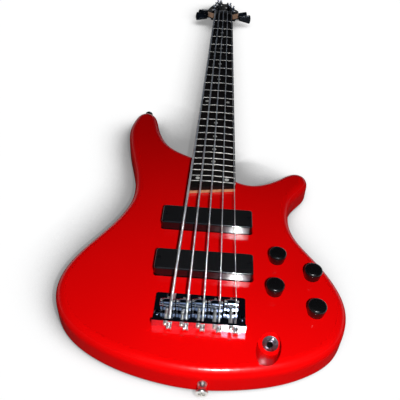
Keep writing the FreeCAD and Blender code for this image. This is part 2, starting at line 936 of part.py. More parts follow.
def make_neck():
    """The neck: heel, shaft and tilted headstock in one piece of wood."""
    front = size("heel_front") + size("heel_cove")
    pocket_floor = BODY_TOP_Z - size("pocket_depth")
    heel = feature("heel_block", prism(neck_plan(front), pocket_floor, NECK_TOP_Z))
    cove = rod(
        "heel_scoop", "heel_cove", "board_end_width + 2 * overrun",
        "-board_end_width / 2 - overrun", "heel_front + heel_cove", POCKET_FLOOR, "x",
    )
    start = shaft_section(size("heel_front") - OVERRUN, size("shaft_depth_heel"))
    end = shaft_section(NUT_BACK_Y, size("shaft_depth_nut"))
    shaft = feature("neck_shaft", Part.makeLoft([start, end], True, True))
    volute = feature("volute", Part.makeLoft([end, volute_section()], True, True))
    slab = head_slab("head_slab", "head_thick", -size("head_thick"))
    blank = fuse("neck_blank", cut("heel", heel, cove), shaft, volute, slab)
    channel_long = NUT_BACK_Y + OVERRUN - size("rod_start")
    channel = Part.makeBox(
        2 * (size("rod_radius") + size("screw_gap")),
        channel_long,
        size("rod_drop") + size("rod_radius") + size("screw_gap") + OVERRUN,
        Vector(
            -size("rod_radius") - size("screw_gap"),
            size("rod_start") - size("screw_gap"),
            NECK_TOP_Z - size("rod_drop") - size("rod_radius") - size("screw_gap"),
        ),
    )
    cuts = [feature("rod_channel", channel), access_cut()]
    bores = Part.makeCompound(post_holes(-size("head_thick") - OVERRUN, OVERRUN))
    cuts.append(in_head("post_bores", bores))
    for x, y in neck_screw_places():
        reach = size("neck_screw_reach") + size("screw_gap")
        spot = Vector(x, y, pocket_floor - OVERRUN)
        pilot = Part.makeCylinder(size("neck_screw_radius") + size("screw_gap"), reach + OVERRUN, spot)
        cuts.append(feature("heel_pilot", pilot))
    radius = size("trim_screw_radius") + size("screw_gap")
    long = size("trim_screw_long")
    for name in STRINGS:
        for x, y in ear_screw_places(name):
            spot = Vector(x, y, -size("head_thick") - size("ear_thick"))
            cuts.append(in_head("ear_pilot", Part.makeCylinder(radius, long, spot)))
    for x, y in rod_cover_screw_places():
        spot = Vector(x, y, rod_cover_top() - long)
        cuts.append(in_head("rod_cover_pilot", Part.makeCylinder(radius, long, spot)))
    node("neck", cut("neck_cut", blank, *cuts))


def rod_cover_top():
    """Height of the truss rod cover's top in the headstock's frame."""
    return size("head_face_thick") + size("rod_cover_thick")


def rod_cover_screw_places():
    """Places of the truss rod cover's screws in the headstock's plane."""
    start = size("rod_cover_start")
    margin = size("trim_head_radius") + size("rod_cover_margin")
    side = size("rod_cover_wide") / 2 - margin
    far = start + size("rod_cover_long") - margin
    near = start + size("access_long") / 2
    return [(-side, near), (side, near), (0, far)]


def make_headstock_face():
    """The black facing on the headstock."""
    slab = head_slab("face_slab", "head_face_thick", 0)
    high = size("head_face_thick")
    bores = in_head("face_bores", Part.makeCompound(post_holes(-OVERRUN, high + OVERRUN)))
    radius = size("trim_screw_radius") + size("screw_gap")
    pilots = [
        Part.makeCylinder(radius, high + 2 * OVERRUN, Vector(x, y, -OVERRUN))
        for x, y in rod_cover_screw_places()
    ]
    pilot = in_head("face_pilots", Part.makeCompound(pilots))
    node("headstock_face", cut("face_cut", slab, bores, pilot, access_cut()))


def make_fretboard():
    """The crowned fretboard with its fret slots and dot holes."""
    plain = feature("board_block", prism(neck_plan(NUT_Y), NECK_TOP_Z, BOARD_TOP_Z))
    crown = rod(
        "board_crown", "board_radius", "scale_length + overrun",
        "0", "0", f"{BOARD_TOP} - board_radius", "y",
    )
    crowned = common("board_crowned", plain, crown)
    saw_cuts = [fret_slot(number) for number in range(1, FRET_COUNT + 1)]
    slots = feature("fret_slots", Part.makeCompound(saw_cuts))
    holes = feature("dot_holes", Part.makeCompound([dot(x, y, size("inlay_gap")) for x, y in dot_places()]))
    node("fretboard", cut("board_cut", crowned, slots, holes))


def swept_across(y, profile, half):
    """A fret-like bar: a profile in the YZ plane swept across the crowned fretboard."""
    radius = size("board_radius")
    axis = Vector(0, y, BOARD_TOP_Z - radius)
    angle = math.degrees(math.asin(half / radius))
    face = Part.Face(profile)
    face.rotate(axis, Vector(0, 1, 0), -angle)
    return face.revolve(axis, Vector(0, 1, 0), 2 * angle)


def fret_slot(number):
    """The slot of one fret, right across the fretboard."""
    y = fret_y(number)
    half = size("tang_wide") / 2 + size("inlay_gap")
    low = BOARD_TOP_Z - size("tang_deep") - size("fret_seat")
    high = BOARD_TOP_Z + size("fret_high")
    plan = ((y - half, low), (y + half, low), (y + half, high), (y - half, high))
    corners = [Vector(0, along, up) for along, up in plan]
    return swept_across(y, Part.makePolygon(corners + corners[:1]), half_width(y) + size("fret_inset"))


def fret(number):
    """One fret: a rounded crown on a narrow tang."""
    y = fret_y(number)
    seat = BOARD_TOP_Z + size("fret_seat")
    low = BOARD_TOP_Z - size("tang_deep")
    crown = size("fret_wide") / 2
    tang = size("tang_wide") / 2
    top = Part.Arc(
        Vector(0, y - crown, seat),
        Vector(0, y, BOARD_TOP_Z + size("fret_high")),
        Vector(0, y + crown, seat),
    ).toShape()
    corners = [
        Vector(0, y + crown, seat), Vector(0, y + tang, seat), Vector(0, y + tang, low),
        Vector(0, y - tang, low), Vector(0, y - tang, seat), Vector(0, y - crown, seat),
    ]
    profile = Part.Wire([top] + Part.makePolygon(corners).Edges)
    return swept_across(y, profile, half_width(y) - size("fret_inset"))


def make_frets():
    """All frets, as separate solids of one node."""
    wires = [fret(number) for number in range(1, FRET_COUNT + 1)]
    node("frets", feature("frets", Part.makeCompound(wires)))


def dot_places():
    """Places of the position dots, between each marked fret and the one before it."""
    spots = []
    for number in SINGLE_DOTS:
        spots.append((0, (fret_y(number) + fret_y(number - 1)) / 2))
    for number in DOUBLE_DOTS:
        y = (fret_y(number) + fret_y(number - 1)) / 2
        side = half_width(y) * DOUBLE_DOT_SHARE
        spots += [(-side, y), (side, y)]
    return spots


def dot(x, y, gap):
    """One position dot or, with a gap, its hole."""
    sink = BOARD_TOP_Z - size("board_radius") + math.sqrt(size("board_radius") ** 2 - x ** 2)
    floor = sink - size("dot_deep") - gap
    rise = size("fret_high") if gap else -size("inlay_gap")
    return Part.makeCylinder(size("dot_radius") + gap, sink + rise - floor, Vector(x, y, floor))


def make_position_dots():
    """The inlaid dots."""
    dots = [dot(x, y, 0) for x, y in dot_places()]
    node("position_dots", feature("position_dots", Part.makeCompound(dots)))


def make_nut():
    """The nut with a slot for each string."""
    block = box(
        "nut_block", "nut_width", "nut_thick", "board_thick + nut_rise",
        "0", "scale_length + nut_thick / 2", NECK_TOP,
    )
    slots = []
    for name in STRINGS:
        centre = string_line(name)(NUT_Y)
        radius = size(f"string_{name}_dia") / 2 + size("string_clearance")
        low = centre - Vector(radius, OVERRUN, radius)
        slots.append(Part.makeBox(2 * radius, size("nut_thick") + 2 * OVERRUN, OVERRUN + radius, low))
    node("nut", cut("nut_cut", block, feature("nut_slots", Part.makeCompound(slots))))


def make_truss_rod():
    """The steel rod under the fretboard with its nut at the headstock."""
    centre = f"{NECK_TOP} - rod_drop"
    end = f"{HEAD_START} + rod_reach"
    bar = rod("rod_bar", "rod_radius", f"{end} - rod_start", "0", "rod_start", centre, "y")
    nut_start = f"{end} - rod_nut_long / 2"
    nut = rod("rod_nut", "rod_nut_radius", "rod_nut_long", "0", nut_start, centre, "y")
    node("truss_rod", fuse("rod_joined", bar, nut))


def make_truss_rod_cover():
    """The small plate over the truss rod's slot."""
    middle = "rod_cover_start + rod_cover_long / 2"
    plate = box(
        "rod_cover_plate", "rod_cover_wide", "rod_cover_long", "rod_cover_thick",
        "0", middle, "head_face_thick",
    )
    round_plate = rounded("rod_cover_round", plate, "rod_cover_corner", runs_along(Vector(0, 0, 1)))
    radius = size("trim_screw_radius") + size("screw_gap")
    holes = [
        Part.makeCylinder(radius, rod_cover_top() + OVERRUN, Vector(x, y, 0))
        for x, y in rod_cover_screw_places()
    ]
    cover = cut("rod_cover_cut", round_plate, feature("rod_cover_holes", Part.makeCompound(holes)))
    cover.Placement = HEAD
    node("truss_rod_cover", cover)


def trim_screw(top, way):
    """A small round-headed screw whose head sits on a surface and whose shank runs into it."""
    head = Part.makeCylinder(size("trim_head_radius"), size("trim_head_high"), top, way * -1)
    long = size("trim_screw_long") - size("seat_gap")
    shank = Part.makeCylinder(size("trim_screw_radius"), long, top, way)
    return head.fuse(shank).removeSplitter()


def make_cover_screws():
    """The screws of the truss rod cover and of the control cover."""
    into = HEAD.Rotation.multVec(Vector(0, 0, -1))
    screws = []
    for x, y in rod_cover_screw_places():
        screws.append(trim_screw(HEAD.multVec(Vector(x, y, rod_cover_top())), into))
    sink = Vector(0, 0, size("trim_head_high"))
    for spot in cover_screw_places():
        screws.append(trim_screw(spot + sink, Vector(0, 0, 1)))
    node("cover_screws", feature("cover_screws", Part.makeCompound(screws)))


def make_neck_fasteners():
    """The four neck screws and the flush ferrules that they bear on."""
    screws = []
    ferrules = []
    head = size("screw_head_high")
    gap = size("screw_gap")
    pocket_floor = BODY_TOP_Z - size("pocket_depth")
    for x, y in neck_screw_places():
        spot = Vector(x, y, 0)
        shank = Part.makeCylinder(size("neck_screw_radius"), pocket_floor + size("neck_screw_reach"), spot)
        screws.append(shank.fuse(Part.makeCylinder(size("screw_head_radius"), head, spot)).removeSplitter())
        ring = Part.makeCylinder(size("ferrule_radius"), size("ferrule_high"), spot)
        ring = ring.cut(Part.makeCylinder(size("neck_screw_radius") + gap, size("ferrule_high"), spot))
        ferrules.append(ring.cut(Part.makeCylinder(size("screw_head_radius") + gap, head, spot)))
    node("neck_screws", feature("neck_screws", Part.makeCompound(screws)))
    node("neck_ferrules", feature("neck_ferrules", Part.makeCompound(ferrules)))


# Strings: straight over saddle and nut, then wound on their posts
def string_line(name):
    """The straight run of a string, as its centre at a place along the scale."""
    step = STRINGS[name]["step"]
    radius = size(f"string_{name}_dia") / 2

    def centre(y):
        share = y / NUT_Y
        x = step * (size("string_gap_bridge") * (1 - share) + size("string_gap_nut") * share)
        height = size("string_height_bridge") * (1 - share) + size("string_height_nut") * share
        return Vector(x, y, BOARD_TOP_Z + height + radius)

    return centre


def saddle_centre(name):
    """Centre of a saddle's rounded top, below the string by its clearance."""
    y = -size(f"saddle_{name}_back")
    crest = string_line(name)(y)
    drop = size(f"string_{name}_dia") / 2 + size("string_clearance") + size("saddle_radius")
    return Vector(saddle_x(name), y, crest.z - drop)


def saddle_x(name):
    """Place of a saddle across the bridge."""
    return STRINGS[name]["step"] * size("string_gap_bridge") - size("saddle_offset")


def ball_place(name):
    """Centre of a string's ball end, behind the bridge's upstand."""
    y = -size("bridge_rear") - size("ball_radius") - size("seat_gap")
    x = string_line(name)(y).x
    return Vector(x, y, BODY_TOP_Z + size("ball_height"))


def tail_way(name):
    """Direction of a string from its ball end up to its saddle, tangent to the saddle's top."""
    ball = ball_place(name)
    top = saddle_centre(name)
    rise = top.z - ball.z
    run = top.y - ball.y
    reach = math.hypot(run, rise)
    bend = size("saddle_radius") + size("string_clearance") + size(f"string_{name}_dia") / 2
    angle = math.atan2(rise, run) + math.asin(bend / reach)
    slope = string_line(name)(1).x - string_line(name)(0).x
    return Vector(slope * math.cos(angle), math.cos(angle), math.sin(angle)).normalize()


def corner_arc(before, corner, after, radius):
    """A straight run and the tangent arc that rounds a corner; returns both ends of the arc."""
    come = (corner - before).normalize()
    leave = (after - corner).normalize()
    reach = radius * math.tan(come.getAngle(leave) / 2)
    return corner - come * reach, corner + leave * reach


def rounded_run(points, radii):
    """Straight runs through points, with tangent arcs at the corners between them."""
    edges = []
    here = points[0]
    for index, radius in enumerate(radii, start=1):
        start, end = corner_arc(points[index - 1], points[index], points[index + 1], radius)
        come = (points[index] - points[index - 1]).normalize()
        edges.append(Part.makeLine(here, start))
        edges.append(tangent_arc(start, come, end))
        here = end
    edges.append(Part.makeLine(here, points[-1]))
    return edges


def winding(name):
    """A string's turns on its post: points and directions in the part's frame."""
    radius = size(f"string_{name}_dia") / 2
    bend = size("post_radius") + size("string_clearance") + radius
    x, y = post_place(name)
    inner = -1 if x > 0 else 1
    level = size("head_face_thick") + size("wrap_height")
    pitch = 2 * radius + size("string_turn_gap")
    leave = string_line(name)(NUT_BACK_Y)
    nut_spot = HEAD.inverse().multVec(leave)
    reach = math.hypot(nut_spot.x - x, nut_spot.y - y)
    base = math.atan2(nut_spot.y - y, nut_spot.x - x)
    first = base + inner * math.acos(bend / reach)

    def point_at(turn):
        angle = first + inner * turn * 2 * math.pi
        across = Vector(math.cos(angle), math.sin(angle), 0) * bend
        return HEAD.multVec(Vector(x, y, level - pitch * turn) + across)

    def way_at(turn):
        angle = first + inner * turn * 2 * math.pi
        around = Vector(-math.sin(angle), math.cos(angle), 0) * (inner * 2 * math.pi * bend)
        return HEAD.Rotation.multVec((around - Vector(0, 0, pitch)).normalize())

    return point_at, way_at, 2 * math.pi * bend


def make_string(name):
    """One string with its ball end, as one unbroken solid."""
    radius = size(f"string_{name}_dia") / 2
    line = string_line(name)
    ball = ball_place(name)
    way = tail_way(name)
    flat = (line(1) - line(0)).normalize()
    lift = (line(ball.y).z - ball.z) / (way.z / way.y - flat.z / flat.y)
    corner = line(ball.y + lift)
    point_at, way_at, loop = winding(name)
    leave = line(NUT_BACK_Y)
    tangent = point_at(0)
    bends = [size("saddle_radius") + size("string_clearance") + radius, size("nut_bend_radius")]
    run = rounded_run([ball, corner, leave, tangent], bends)
    come = (tangent - leave).normalize()
    turns = helix_biarcs(point_at, way_at, STRINGS[name]["turns"], come)
    if STRINGS[name]["turns"] > 1:
        print(f"string {name} least gap {least_gap(turns, 2 * radius, loop):.2f} mm")
    wire = tube(run + turns, radius)
    half = size("ball_long") / 2
    barrel = Part.makeCylinder(size("ball_radius"), 2 * half, ball - Vector(half, 0, 0), Vector(1, 0, 0))
    node(f"string_{name}", feature(f"string_{name}", wire.fuse(barrel).removeSplitter()))


# Bridge
def make_bridge_plate():
    """The bent plate with its upstand, pierced for strings and screws."""
    middle = "bridge_length / 2 - bridge_rear"
    plate = box("plate_flat", "bridge_width", "bridge_length", "plate_thick", BRIDGE_X, middle, BODY_TOP)
    upstand = box(
        "plate_upstand", "bridge_width", "upstand_thick", "upstand_high",
        BRIDGE_X, "upstand_thick / 2 - bridge_rear", BODY_TOP,
    )
    blank = rounded("plate_round", fuse("plate_bent", plate, upstand), "plate_corner", plate_corners)
    cuts = []
    for x, y in bridge_screw_places():
        low = f"{PLATE_TOP} - overrun"
        cuts.append(rod("plate_screw_hole", "bridge_screw_radius + screw_gap", "body_thick", x, y, low))
    for name in STRINGS:
        ball = ball_place(name)
        radius = size(f"string_{name}_dia") / 2 + size("string_clearance")
        long = size("ball_radius") + size("upstand_thick") * 2
        cuts.append(feature("plate_string_hole", Part.makeCylinder(radius, long, ball, tail_way(name))))
        cuts.append(rod(
            "plate_intonation_hole", "intonation_radius + run_gap", "upstand_thick + 2 * overrun",
            string_step(name), "-bridge_rear - overrun", "body_thick + intonation_height", "y",
        ))
    node("bridge_plate", cut("plate_cut", blank, *cuts))


def plate_corners(edge):
    """A test for the upright corners at the front of the bridge's plate."""
    return runs_along(Vector(0, 0, 1))(edge) and edge.CenterOfMass.y > size("bridge_screw_front")


def string_step(name):
    """Place of a string's saddle across the bridge, as an expression."""
    return f"{STRINGS[name]['step']} * string_gap_bridge - saddle_offset"


def make_bridge_screws():
    """The bridge's mounting screws."""
    screws = []
    for x, y in bridge_screw_places():
        head = rod("bridge_head", "bridge_head_radius", "bridge_head_high", x, y, PLATE_TOP)
        shank = rod(
            "bridge_shank", "bridge_screw_radius", "bridge_screw_long - screw_gap",
            x, y, f"{PLATE_TOP} - bridge_screw_long + screw_gap",
        )
        screws.append(fuse("bridge_screw", head, shank))
    node("bridge_screws", group("bridge_screw_group", *screws))


def make_saddle(name):
    """One saddle with its two height screws, which stand on the plate."""
    centre = saddle_centre(name)
    x = string_step(name)
    y = f"-saddle_{name}_back"
    plate_top = BODY_TOP_Z + size("plate_thick")
    radius = size("saddle_radius")
    half = size("saddle_wide") / 2
    low = plate_top + size("saddle_foot")
    corner = Vector(centre.x - half, centre.y - radius, low)
    block = Part.makeBox(2 * half, 2 * radius, centre.z - low, corner)
    barrel = Part.makeCylinder(radius, 2 * half, centre - Vector(half, 0, 0), Vector(1, 0, 0))
    blank = feature("saddle_blank", block.fuse(barrel).removeSplitter())
    cuts = [rod(
        "saddle_thread", "intonation_radius + run_gap", "2 * saddle_radius + 2 * overrun",
        x, f"{y} - saddle_radius - overrun", "body_thick + intonation_height", "y",
    )]
    screws = []
    top = centre.z + radius
    for side in (-1, 1):
        foot = Vector(centre.x + side * size("height_screw_side"), centre.y, plate_top + size("seat_gap"))
        deep = top - foot.z + size("overrun")
        hole = Part.makeCylinder(size("height_screw_radius") + size("seat_gap"), deep, foot)
        cuts.append(feature("height_screw_hole", hole))
        screw = Part.makeCylinder(size("height_screw_radius"), top - foot.z, foot)
        screws.append(feature("height_screw", screw))
    node(f"saddle_{name}", group("saddle_group", cut("saddle_cut", blank, *cuts), *screws))


def make_intonation_screw(name):
    """The screw that draws one saddle along the bridge."""
    x = string_step(name)
    z = "body_thick + intonation_height"
    back = "-bridge_rear - seat_gap"
    head_back = f"{back} - intonation_head_long"
    head = rod("intonation_head", "intonation_head_radius", "intonation_head_long", x, head_back, z, "y")
    long = f"bridge_rear + seat_gap - saddle_{name}_back + saddle_radius + intonation_tip"
    shank = rod("intonation_shank", "intonation_radius", long, x, back, z, "y")
    node(f"intonation_screw_{name}", fuse("intonation_joined", head, shank))


def make_saddle_springs():
    """The springs on the intonation screws, between upstand and saddles."""
    springs = []
    radius = size("spring_radius")
    wire = size("spring_wire") / 2
    for name in STRINGS:
        start = size("upstand_thick") - size("bridge_rear") + wire + size("string_clearance")
        end = -size(f"saddle_{name}_back") - size("saddle_radius") - wire - size("string_clearance")
        pitch = (end - start) / SPRING_CURLS
        x = saddle_x(name)
        z = BODY_TOP_Z + size("intonation_height")

        def point_at(turn):
            angle = turn * 2 * math.pi
            return Vector(x + radius * math.cos(angle), start + pitch * turn, z + radius * math.sin(angle))

        def way_at(turn):
            angle = turn * 2 * math.pi
            around = 2 * math.pi * radius
            return Vector(-around * math.sin(angle), pitch, around * math.cos(angle)).normalize()

        edges = helix_biarcs(point_at, way_at, SPRING_CURLS)
        print(f"spring {name} least gap {least_gap(edges, 2 * wire, 2 * math.pi * radius):.2f} mm")
        springs.append(tube(edges, wire))
    node("saddle_springs", feature("saddle_springs", Part.makeCompound(springs)))


# Tuning machines, modelled round a post at the origin of the headstock's plane
def machine_frame(name):
    """The frame of one tuning machine: its post's foot, in the headstock's plane."""
    x, y = post_place(name)
    spot = Placement(Vector(x, y, 0), Rotation())
    return HEAD.multiply(spot)


def side_of(name):
    """1 for a machine on the treble side, -1 on the bass side."""
    return 1 if STRINGS[name]["post_share"][0] > 0 else -1


def housing_shape(side):
    """A housing with its gear and worm chambers and its two ears."""
    low, high = housing_reach()
    wide = size("housing_wide")
    top = -size("head_thick")
    deep = size("housing_high")
    shell = Part.makeBox(wide, high - low, deep, Vector(-wide / 2, low, top - deep))
    lower = [edge for edge in shell.Edges if edge.BoundBox.ZMin < top - deep / 2]
    shell = shell.makeFillet(size("housing_round"), lower)
    ear = size("ear_long")
    ears = Part.makeBox(
        size("ear_wide"), high - low + 2 * ear, size("ear_thick"),
        Vector(-size("ear_wide") / 2, low - ear, top - size("ear_thick")),
    )
    floor = Vector(0, 0, top - deep + size("housing_wall"))
    room = Part.makeCylinder(size("gear_radius") + size("gear_room"), top - floor.z, floor)
    axis = Vector(-side * size("worm_long") / 2, worm_offset(), worm_height())
    out = Vector(side, 0, 0)
    worm_room = size("worm_room")
    worm_long = size("worm_long") + 2 * worm_room
    worm = Part.makeCylinder(size("worm_radius") + worm_room, worm_long, axis - out * worm_room, out)
    shaft = Part.makeCylinder(size("key_shaft_radius") + size("run_gap"), wide, axis, out)
    solid = shell.fuse(ears).cut(room).cut(worm).cut(shaft)
    radius = size("trim_screw_radius") + size("screw_gap")
    thick = size("ear_thick")
    for y in (low - ear / 2, high + ear / 2):
        solid = solid.cut(Part.makeCylinder(radius, thick, Vector(0, y, top - thick)))
    return solid.removeSplitter()


def worm_height():
    """Height of a worm's axis in the headstock's frame."""
    return -size("head_thick") - size("housing_high") / 2


def post_shape():
    """A post with its gear, its cap and the slot for the string's end."""
    gear_low = worm_height() - size("gear_high") / 2
    top = size("head_face_thick") + size("post_high")
    post = Part.makeCylinder(size("post_radius"), top - gear_low, Vector(0, 0, gear_low))
    gear = Part.makeCylinder(size("gear_radius"), size("gear_high"), Vector(0, 0, gear_low))
    cap_high = size("post_cap_high")
    cap = Part.makeCylinder(size("post_cap_radius"), cap_high, Vector(0, 0, top - cap_high))
    slot_wide = size("post_slot")
    reach = size("post_cap_radius") + OVERRUN
    slot_deep = size("post_slot_deep")
    slot = Part.makeBox(slot_wide, 2 * reach, slot_deep, Vector(-slot_wide / 2, -reach, top - slot_deep))
    return post.fuse([gear, cap]).removeSplitter().cut(slot)


def key_shape(side, angle):
    """A key: the worm on its shaft, a collar and the flared button, turned to its angle at rest."""
    centre = Vector(0, worm_offset(), worm_height())
    out = Vector(side, 0, 0)
    inner = centre - out * (size("worm_long") / 2)
    worm = Part.makeCylinder(size("worm_radius"), size("worm_long"), inner, out)
    shaft_long = size("key_reach") + size("worm_long") / 2 + size("collar_long")
    shaft = Part.makeCylinder(size("key_shaft_radius"), shaft_long, inner, out)
    collar_start = centre + out * (size("housing_wide") / 2 + size("run_gap"))
    collar = Part.makeCylinder(size("collar_radius"), size("collar_long"), collar_start, out)
    button = button_shape(side)
    button.rotate(Vector(), Vector(1, 0, 0), angle)
    button.translate(centre)
    return worm.fuse([shaft, collar, button]).removeSplitter()


def button_shape(side):
    """A flared paddle button about the X axis, flat in the plane of X and Y."""
    start = size("key_reach")
    end = start + size("button_long")
    neck = size("button_neck") / 2
    half = size("button_wide") / 2
    thick = size("button_thick")
    bulge = end + size("button_neck") / QUARTERS
    plan = ((start, -neck), (end, -half), (bulge, 0), (end, half), (start, neck))
    corners = [Vector(side * x, y, -thick / 2) for x, y in plan]
    rim = Part.Arc(corners[1], corners[2], corners[3]).toShape()
    flank = Part.makeLine(corners[0], corners[1])
    other_flank = Part.makeLine(corners[3], corners[4])
    root = Part.makeLine(corners[4], corners[0])
    paddle = Part.Face(Part.Wire([flank, rim, other_flank, root])).extrude(Vector(0, 0, thick))
    upright = [edge for edge in paddle.Edges if runs_along(Vector(0, 0, 1))(edge)]
    paddle = paddle.makeFillet(size("button_round"), upright)
    flat = [edge for edge in paddle.Edges if abs(edge.BoundBox.ZLength) < size("seat_gap")]
    return paddle.makeFillet(size("button_round"), flat)


def bushing_shape():
    """A post's bushing: a flange on the headstock's face and a sleeve in its hole."""
    face = size("head_face_thick")
    flange = Part.makeCylinder(size("bushing_radius"), size("bushing_high"), Vector(0, 0, face))
    deep = size("sleeve_deep")
    foot = Vector(0, 0, face - deep)
    sleeve = Part.makeCylinder(size("sleeve_radius"), deep, foot)
    bore = Part.makeCylinder(size("post_radius") + size("run_gap"), deep + size("bushing_high"), foot)
    return flange.fuse(sleeve).removeSplitter().cut(bore)


def make_tuners():
    """Five tuning machines: housings, bushings and screws in groups, posts and keys by themselves."""
    housings = []
    bushings = []
    screws = []
    into = HEAD.Rotation.multVec(Vector(0, 0, 1))
    for name in STRINGS:
        frame = machine_frame(name)
        side = side_of(name)
        housings.append(feature("housing", housing_shape(side), frame))
        bushings.append(feature("bushing", bushing_shape(), frame))
        for x, y in ear_screw_places(name):
            spot = Vector(x, y, -size("head_thick") - size("ear_thick"))
            screws.append(trim_screw(HEAD.multVec(spot), into))
        node(f"tuner_post_{name}", feature(f"tuner_post_{name}", post_shape(), frame))
        key = key_shape(side, STRINGS[name]["button_deg"])
        node(f"tuner_key_{name}", feature(f"tuner_key_{name}", key, frame))
    node("tuner_housings", group("housing_group", *housings))
    node("tuner_bushings", group("bushing_group", *bushings))
    node("tuner_screws", feature("tuner_screws", Part.makeCompound(screws)))


# Pickups
def make_pickup(name):
    """One pickup: a rounded cover with its height screws, and the coils inside it."""
    y = f"{name}_pickup_y"
    low = "body_thick + pickup_rise - pickup_high"
    block = box(f"{name}_block", "pickup_long", "pickup_wide", "pickup_high", PICKUP_X, y, low)
    corners = rounded(f"{name}_corners", block, "pickup_corner", runs_along(Vector(0, 0, 1)))
    top = BODY_TOP_Z + size("pickup_rise")
    shell = rounded(f"{name}_edges", corners, "pickup_edge", lies_at(top, size("seat_gap")))
    hollow = box(
        f"{name}_hollow", "pickup_long - 2 * pickup_end", "pickup_wide - 2 * pickup_wall",
        "pickup_high - pickup_wall", PICKUP_X, y, low,
    )
    cuts = [hollow]
    screws = []
    for side in ("-", "+"):
        x = f"{PICKUP_X} {side} {pickup_screw_side()}"
        head_low = "body_thick + pickup_rise - pickup_head_high - pickup_head_sink"
        cuts.append(rod(
            "pickup_hole", "pickup_screw_radius + screw_gap", "pickup_high + 2 * overrun",
            x, y, f"{low} - overrun",
        ))
        cuts.append(rod(
            "pickup_sink", "pickup_head_radius + screw_gap", "pickup_head_high + overrun",
            x, y, head_low,
        ))
        head = rod("pickup_head", "pickup_head_radius", "pickup_head_high", x, y, head_low)
        shank = rod(
            "pickup_shank", "pickup_screw_radius", "pickup_screw_long - pickup_head_sink - seat_gap",
            x, y, "body_thick + pickup_rise - pickup_screw_long",
        )
        screws.append(fuse("pickup_screw", head, shank))
    cover = cut(f"{name}_cover_cut", shell, *cuts)
    node(f"{name}_pickup_cover", group(f"{name}_cover_group", cover, *screws))
    coils = box(
        f"{name}_coils",
        "pickup_long - 2 * pickup_end - 2 * coil_gap",
        "pickup_wide - 2 * pickup_wall - 2 * coil_gap",
        "pickup_high - pickup_wall - coil_gap",
        PICKUP_X, y, low,
    )
    node(f"{name}_pickup_coils", coils)


# Controls
def make_knob(knob):
    """One knob with the potentiometer's shaft that it turns."""
    x, y = on_body_text(KNOB_SHARES[knob])
    low = "body_thick + knob_lift"
    taper = cone("knob_taper", "knob_base_radius", "knob_top_radius", "knob_high", x, y, low)
    top = BODY_TOP_Z + size("knob_lift") + size("knob_high")
    shell = rounded("knob_round", taper, "knob_round", lies_at(top, size("seat_gap")))
    skirt_deep = "pot_bush_rise - knob_lift + string_clearance"
    skirt = rod("knob_skirt", "knob_skirt_radius", skirt_deep, x, y, low)
    bore = rod("knob_bore", "pot_shaft_radius + seat_gap", "knob_high - knob_roof", x, y, low)
    foot = "body_thick - control_roof - pot_high + pot_floor"
    shaft_long = "control_roof + pot_high - pot_floor + knob_lift + knob_high - knob_roof - seat_gap"
    shaft = rod("pot_shaft", "pot_shaft_radius", shaft_long, x, y, foot)
    node(f"knob_{knob}", group("knob_group", cut("knob_cut", shell, skirt, bore), shaft))


def make_pots():
    """The four potentiometers under the control cavity's roof, and their nuts on the body."""
    pots = []
    nuts = []
    ceiling = "body_thick - control_roof"
    for knob in KNOB_SHARES:
        x, y = on_body_text(KNOB_SHARES[knob])
        can = rod("pot_can", "pot_radius", "pot_high", x, y, f"{ceiling} - pot_high")
        bush = rod("pot_bush", "pot_bush_radius", "control_roof + pot_bush_rise", x, y, ceiling)
        bore = rod(
            "pot_bore", "pot_shaft_radius + run_gap", "body_thick",
            x, y, f"{ceiling} - pot_high + pot_floor - seat_gap",
        )
        pots.append(cut("pot", fuse("pot_joined", can, bush), bore))
        ring = rod("pot_nut_ring", "pot_nut_radius", "pot_nut_high", x, y, BODY_TOP)
        hole = rod("pot_nut_hole", "pot_bush_radius + screw_gap", "pot_nut_high", x, y, BODY_TOP)
        nuts.append(cut("pot_nut", ring, hole))
    node("pots", group("pot_group", *pots))
    node("pot_nuts", group("pot_nut_group", *nuts))


def make_control_cover():
    """The flush cover on the back, with sunk holes for its screws."""
    block = control_block(size("cover_rim") - size("cover_gap"), 0, size("cover_thick"))
    plate = feature("cover_plate", block)
    gap = size("screw_gap")
    holes = []
    for spot in cover_screw_places():
        holes.append(Part.makeCylinder(size("trim_screw_radius") + gap, size("cover_thick"), spot))
        holes.append(Part.makeCylinder(size("trim_head_radius") + gap, size("trim_head_high"), spot))
    cuts = [feature("cover_hole", hole) for hole in holes]
    node("control_cover", cut("cover_cut", plate, *cuts))


def make_battery():
    """The battery on the control cover, with its two terminals."""
    low = "cover_thick + seat_gap"
    left, rear = on_body_text(BATTERY_SHARE)
    block = box(
        "battery_block", "battery_long", "battery_wide", "battery_high",
        f"{left} + battery_long / 2", f"{rear} + battery_wide / 2", low,
    )
    case = rounded("battery_case", block, "battery_round", runs_along(Vector(1, 0, 0)))
    terminals = [
        rod(
            "battery_terminal", "terminal_radius", "terminal_long",
            f"{left} + battery_long", f"{rear} + battery_wide / 2 {side} battery_wide / 4",
            f"{low} + battery_high / 2", "x",
        )
        for side in ("-", "+")
    ]
    node("battery", fuse("battery_joined", case, *terminals))


def make_preamp_board():
    """The preamplifier's circuit board, carried under the potentiometers, with its largest parts."""
    top = "body_thick - control_roof - pot_high - seat_gap"
    left, rear = on_body_text(PREAMP_SHARE)
    x = f"{left} + board_pcb_wide / 2"
    y = f"{rear} + board_pcb_long / 2"
    low = f"{top} - board_pcb_thick"
    board = box("pcb", "board_pcb_wide", "board_pcb_long", "board_pcb_thick", x, y, low)
    chips = [
        box(
            "chip", "board_pcb_wide / 3", "board_pcb_long / 5", "chip_high",
            x, f"{y} {side} board_pcb_long / 4", f"{low} - chip_high",
        )
        for side in ("-", "+")
    ]
    node("preamp_board", fuse("preamp_joined", board, *chips))


def make_pickup_leads():
    """The leads from both pickups, through the body's bores into the control cavity."""
    leads = [straight_tube(start, end, size("lead_radius")) for start, end in lead_routes()]
    node("pickup_leads", feature("pickup_leads", Part.makeCompound(leads)))


